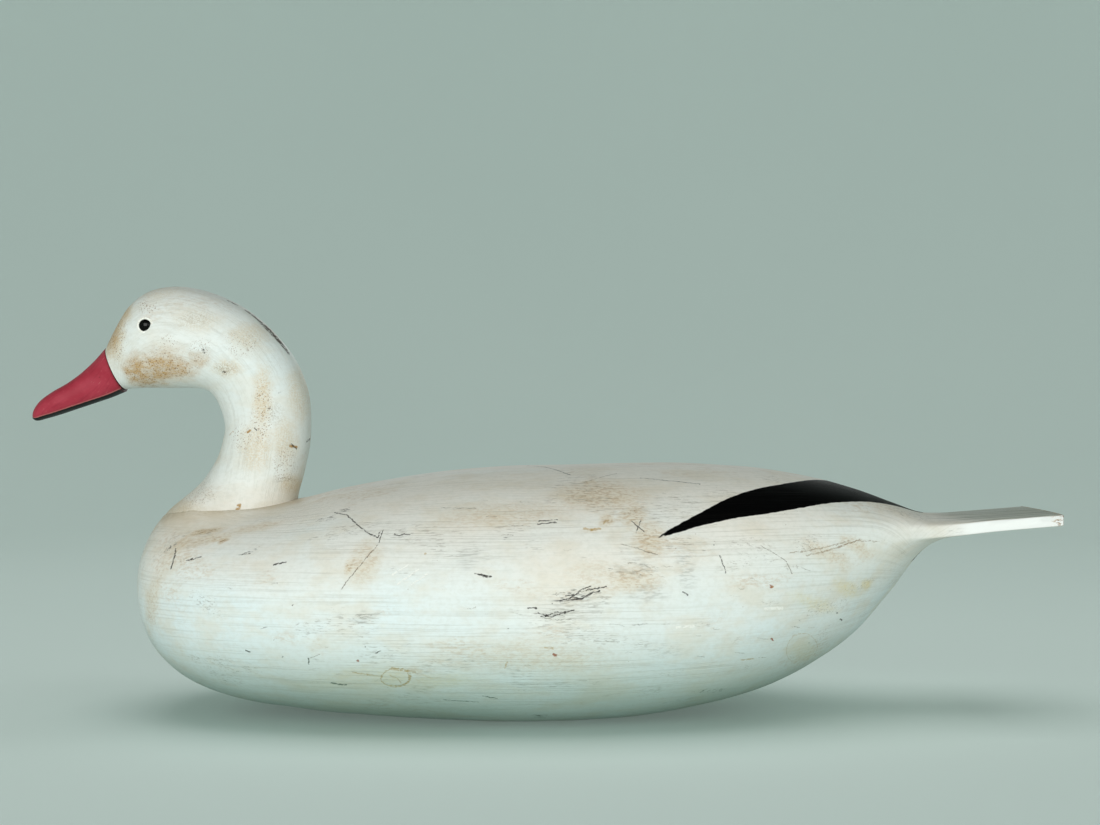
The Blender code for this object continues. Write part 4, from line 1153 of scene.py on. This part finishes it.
def bill_mesh():
    """The bill's skin, with each vertex's distance along, round and up from its lower edge."""
    mesh, ribs, rings, along, around = ribbed_mesh("bill_skin", BILL_ROWS, BILL_SECTIONS, BILL_RING, 2)
    heights = []
    for rib, ring in zip(ribs, rings):
        rise = rib[2:4] - rib[:2]
        heights.append((ring[:, [0, 2]] - rib[:2]) @ rise / np.linalg.norm(rise))
    attributes(mesh, along=along, around=around, low=np.append(heights, BILL_CAP_HEIGHTS))
    return mesh


def tree_of(mesh, points):
    return BVHTree.FromPolygons([tuple(p) for p in points], [tuple(f.vertices) for f in mesh.polygons])


def distances(points, wanted, tree, limit=60.0):
    """How far each wanted point lies outside another surface, in mm."""
    found = np.full(len(points), limit)
    for i in np.flatnonzero(wanted):
        spot, normal, _, away = tree.find_nearest(Vector(points[i]), limit)
        if spot is not None:
            found[i] = 0.0 if (Vector(points[i]) - spot).dot(normal) < 0 else away
    return found


def seat_rise(points, reach):
    height = np.interp(points[:, 0], *zip(*SEAT_RISE))
    return height * np.clip(1 - reach / SEAT_REACH, 0, 1) ** 2


def hollowed(mesh):
    """The body's mesh with the hollows for the ballast weight and the line ring cut in its bottom."""
    obj = add_object("body_to_cut", mesh)
    ballast = slug("ballast_hollow", BALLAST_MIDDLE, BALLAST_RADII, -HOLLOW_OVERSHOOT, BALLAST_TOP)
    tie = slug("tie_hollow", TIE_MIDDLE, (TIE_RADIUS, TIE_RADIUS), -HOLLOW_OVERSHOOT, TIE_DEPTH)
    cut(obj, [ballast, tie])
    made = obj.data
    bpy.data.objects.remove(obj)
    return made


def nearest_values(old_points, new_points, *values):
    tree = KDTree(len(old_points))
    for i, point in enumerate(old_points):
        tree.insert(point, i)
    tree.balance()
    index = [tree.find(point)[1] for point in new_points]
    return [value[index] for value in values]


def shape_skins():
    """The body's and the head's skins, carved, joined in a soft hollow, and marked for their paints."""
    body, girth, level = body_mesh()
    head, _, _, along, around = ribbed_mesh("head_skin", NECK_ROWS, NECK_SECTIONS, NECK_RING)
    body_points, body_normals = vertex_rows(body, "co") / MM, vertex_rows(body, "normal")
    head_points, head_normals = vertex_rows(head, "co") / MM, vertex_rows(head, "normal")

    # The body rises to the neck and the neck spreads to the body, so that they meet in a soft hollow.
    near = (body_points[:, 0] < SEAT_BEHIND_X) & (body_points[:, 2] > SEAT_ABOVE_Z)
    reach = distances(body_points, near, tree_of(head, head_points))
    head_reach = distances(head_points, head_points[:, 2] < SEAT_TOP_Z, tree_of(body, body_points))
    uneven = sum(knife_work(body_points, *layer) for layer in BODY_KNIFE_WORK)
    flat = (body_points[:, 2] < BOTTOM_FLAT_Z) | (body_points[:, 0] > TAIL_FLAT_X)
    calm = np.clip((300 - body_points[:, 0]) / 60, 0.15, 1) * np.where(flat, 0, 1)
    calm *= np.clip((CAD_HALF_WIDTH - np.abs(body_points[:, 1])) / 4, 0.1, 1)
    body_points += body_normals * (seat_rise(body_points, reach) + uneven * calm)[:, None]
    body_points[:, 2] = np.maximum(body_points[:, 2], 0.0)
    set_coordinates(body, body_points * MM)
    uneven = sum(knife_work(head_points, *layer) for layer in HEAD_KNIFE_WORK)
    calm = np.clip((head_points[:, 0] + 291) / 12, 0, 1)
    spread = HEAD_SEAT_SHARE * seat_rise(head_points, head_reach)
    head_points += head_normals * (spread + uneven * calm)[:, None]
    set_coordinates(head, head_points * MM)

    body = hollowed(body)
    old_points, body_points = body_points, vertex_rows(body, "co") / MM
    girth, level, reach = nearest_values(old_points, body_points, girth, level, reach)
    attributes(body, girth=girth, level=level, wing=wing_depth(body_points), seat=reach)
    unrolled_body = np.stack([body_points[:, 0], girth], axis=1)
    keel = (np.abs(body_points[:, 1]) < 4) & (body_points[:, 2] < 60)
    keep_strokes(body, unrolled_body, body_strokes(), keel)
    for seed, (name, left_patches, right_patches) in enumerate(BODY_PATCHES):
        keep_patches(body, name, unrolled_body, (*left_patches, *right_patches), 30 + 2 * seed)

    attributes(head, along=along, around=around, seat=head_reach)
    throat = (np.abs(around) > np.abs(around).max() * 0.2) & (np.abs(head_points[:, 1]) < 1.5)
    marks = head_strokes(head_points, along, around)
    keep_strokes(head, np.stack([along, around], axis=1), marks, throat)
    for seed, (name, marks) in enumerate(HEAD_PATCHES):
        keep_patches(head, name, head_points[:, [0, 2]], marks, 50 + 2 * seed)
    return body, head


# ---------------------------------------------------------------- the other pieces
def add_eye(side, sign, glass, putty):
    """A blown glass eye on its wire, bedded in a thin rim of putty."""
    low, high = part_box("eye_" + side)
    outermost = (high.y if sign > 0 else low.y) / MM
    wood = outermost - sign * EYE_PROUD
    centre = ((low.x + high.x) / 2 / MM, wood, (low.z + high.z) / 2 / MM)
    dome = (EYE_RADIUS**2 + EYE_PROUD**2) / (2 * EYE_PROUD)
    widest = math.asin(EYE_RADIUS / dome)
    stem = [(EYE_STEM_RADIUS, -12.0), (EYE_STEM_RADIUS, -5.0)]
    profile = [*stem, (EYE_RADIUS * 0.7, -4.2), (EYE_RADIUS, -2.0)]
    for k in range(DOME_STEPS + 1):
        angle = widest * (1 - k / DOME_STEPS)
        height = dome * math.cos(angle) - dome + EYE_PROUD
        profile.append((max(dome * math.sin(angle), 0.01), height))
    eye = turned_mesh("glass_eye_" + side, profile, ROUND_SIDES, centre, (0, sign, 0))
    place_piece("glass_eye_" + side, eye, SHARP_GLASS, glass, "decoy", "eye_glass", "eye_" + side)
    inner, outer = PUTTY_RADIUS - PUTTY_HALF_WIDTH, PUTTY_RADIUS + PUTTY_HALF_WIDTH
    rim = [(inner + 0.1, -3.0), (outer, -3.0)]
    for k in range(RIM_STEPS + 1):
        angle = math.pi * k / RIM_STEPS
        rim.append((PUTTY_RADIUS + PUTTY_HALF_WIDTH * math.cos(angle), PUTTY_PROUD * math.sin(angle)))
    ring = turned_mesh("putty_ring_" + side, rim, ROUND_SIDES, centre, (0, sign, 0), ring=True)
    place_piece("putty_ring_" + side, ring, SHARP_SKIN, putty, "decoy", "putty", "eye_putty_" + side)


def add_line_ring(brass):
    """The ring for the anchor line, hanging from its staple as far as the hollow lets it."""
    c, s = math.cos(RING_DROOP), math.sin(RING_DROOP)
    centre = (TIE_PIVOT[0] + RING_RADIUS * c, 0.0, TIE_PIVOT[2] - RING_RADIUS * s)
    profile = []
    for k in range(WIRE_SIDES):
        turn = 2 * math.pi * k / WIRE_SIDES
        out, up = RING_WIRE_RADIUS * math.cos(turn), RING_WIRE_RADIUS * math.sin(turn)
        profile.append((RING_RADIUS + out, up))
    ring = turned_mesh("bent_line_ring", profile, WIDE_SIDES, centre, (s, 0, c), ring=True)
    place_piece("bent_line_ring", ring, SHARP_NEVER, brass, "line_ring", "brass", "line_tie_ring")


def add_skins():
    body, head = shape_skins()
    halves = ("upper_body", "lower_body")
    place_piece("painted_body", body, SHARP_SKIN, body_paint(), "decoy", "white_paint", *halves)
    place_piece("painted_head", head, SHARP_SKIN, head_paint(), "decoy", "white_paint", "head_and_neck")
    place_piece("painted_bill", bill_mesh(), SHARP_SKIN, bill_paint(), "decoy", "red_paint", "bill")


def add_fittings():
    """The eyes and the line ring, and materials for the CAD nodes that are shown as they are."""
    glass, putty = eye_glass(), putty_paint()
    for side, sign in (("left", -1), ("right", 1)):
        add_eye(side, sign, glass, putty)
    brass, lead, wood = old_brass(), old_lead(), bare_dowel()
    add_line_ring(brass)
    for name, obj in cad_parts.items():
        for words, material in (
            (("peg", "dowel"), wood),
            (("screw", "washer", "staple"), brass),
            (("weight",), lead),
        ):
            if any(word in name for word in words):
                obj.data.materials.clear()
                obj.data.materials.append(material)
                smooth(obj.data, SHARP_FITTING)


# ---------------------------------------------------------------- the studio, in metres
BACKDROP_COLOURS = (srgb(208, 222, 217), srgb(213, 226, 221))
BACKDROP_GLOW = 0.14  # lets the paper stay pale where the lamps hardly reach it
FLOOR_RADIUS = 1.6
COVE_RADIUS = 1.2
COVE_STEPS = 24
WALL_TOP = 2.4
WORLD_COLOUR = (0.85, 1.0, 0.95, 1.0)
WORLD_STRENGTH = 0.06
LAMPS = (
    # name, place, aim, size, watts, what it lights: only the decoy, or only the backdrop
    ("key", (-0.4, -2.0, 0.6), (0.0, 0.0, 0.12), (1.3, 1.0), 28.0, "decoy"),
    ("fill", (1.1, -1.8, 0.6), (0.15, 0.0, 0.12), (0.9, 0.8), 5.5, "decoy"),
    ("back", (0.0, 2.2, 0.9), (0.0, 0.0, 0.12), (1.8, 0.9), 7.0, "decoy"),
    ("overhead", (0.0, 0.0, 2.6), (0.0, 0.0, 0.0), (2.4, 2.4), 30.0, "backdrop"),
)
CAMERA_LENS = 52.36
CAMERA_PLACE = (0.0085, -1.088, 0.2025)
CAMERA_DOWN = 0.09


def add_backdrop():
    """A pale dish of paper that is the same from every side."""
    profile = [(FLOOR_RADIUS, 0.0)]
    for k in range(1, COVE_STEPS + 1):
        angle = math.pi / 2 * k / COVE_STEPS
        out, up = COVE_RADIUS * math.sin(angle), COVE_RADIUS * (1 - math.cos(angle))
        profile.append((FLOOR_RADIUS + out, up))
    profile.append((FLOOR_RADIUS + COVE_RADIUS, WALL_TOP))
    mesh = grid_mesh("backdrop", circles(profile, WIDE_SIDES) / MM, caps=(True, False))
    mesh.shade_smooth()
    shade = Shade("backdrop_paper")
    shade.colour = shade.mix(shade.noise((900, 900, 900), 81, 2), *BACKDROP_COLOURS)
    glow = {"Emission_Color": shade.colour, "Emission_Strength": BACKDROP_GLOW}
    mesh.materials.append(shade.finish(0.9, **glow, Specular_IOR_Level=0.1))
    backdrop = add_object("backdrop", mesh)
    return backdrop


def add_lamps(backdrop):
    """Soft lamps, each lighting either the decoy or the backdrop."""
    receivers = {}
    for kind, state in (("backdrop", "INCLUDE"), ("decoy", "EXCLUDE")):
        receivers[kind] = bpy.data.collections.new("lit_" + kind)
        receivers[kind].objects.link(backdrop)
        receivers[kind].collection_objects[0].light_linking.link_state = state
    for name, place, aim, size, power, lights in LAMPS:
        lamp = bpy.data.lights.new(name, "AREA")
        lamp.shape = "RECTANGLE"
        lamp.size, lamp.size_y = size
        lamp.energy = power
        obj = add_object(name, lamp)
        obj.location = place
        obj.rotation_euler = (Vector(aim) - Vector(place)).to_track_quat("-Z", "Y").to_euler()
        obj.light_linking.receiver_collection = receivers[lights]


def set_camera():
    camera = bpy.data.cameras.new("camera")
    camera.sensor_width = 36.0
    camera.lens = CAMERA_LENS
    obj = add_object("camera", camera)
    obj.location = CAMERA_PLACE
    obj.rotation_euler = (math.radians(90 - CAMERA_DOWN), 0.0, 0.0)
    bpy.context.scene.camera = obj


def set_world():
    bpy.context.scene.view_settings.view_transform = "Standard"
    world = bpy.data.worlds.new("soft_room")
    bpy.context.scene.world = world
    world.use_nodes = True
    sky = world.node_tree.nodes["Background"].inputs
    sky[0].default_value = WORLD_COLOUR
    sky[1].default_value = WORLD_STRENGTH


add_skins()
add_fittings()
set_world()
add_lamps(add_backdrop())
set_camera()
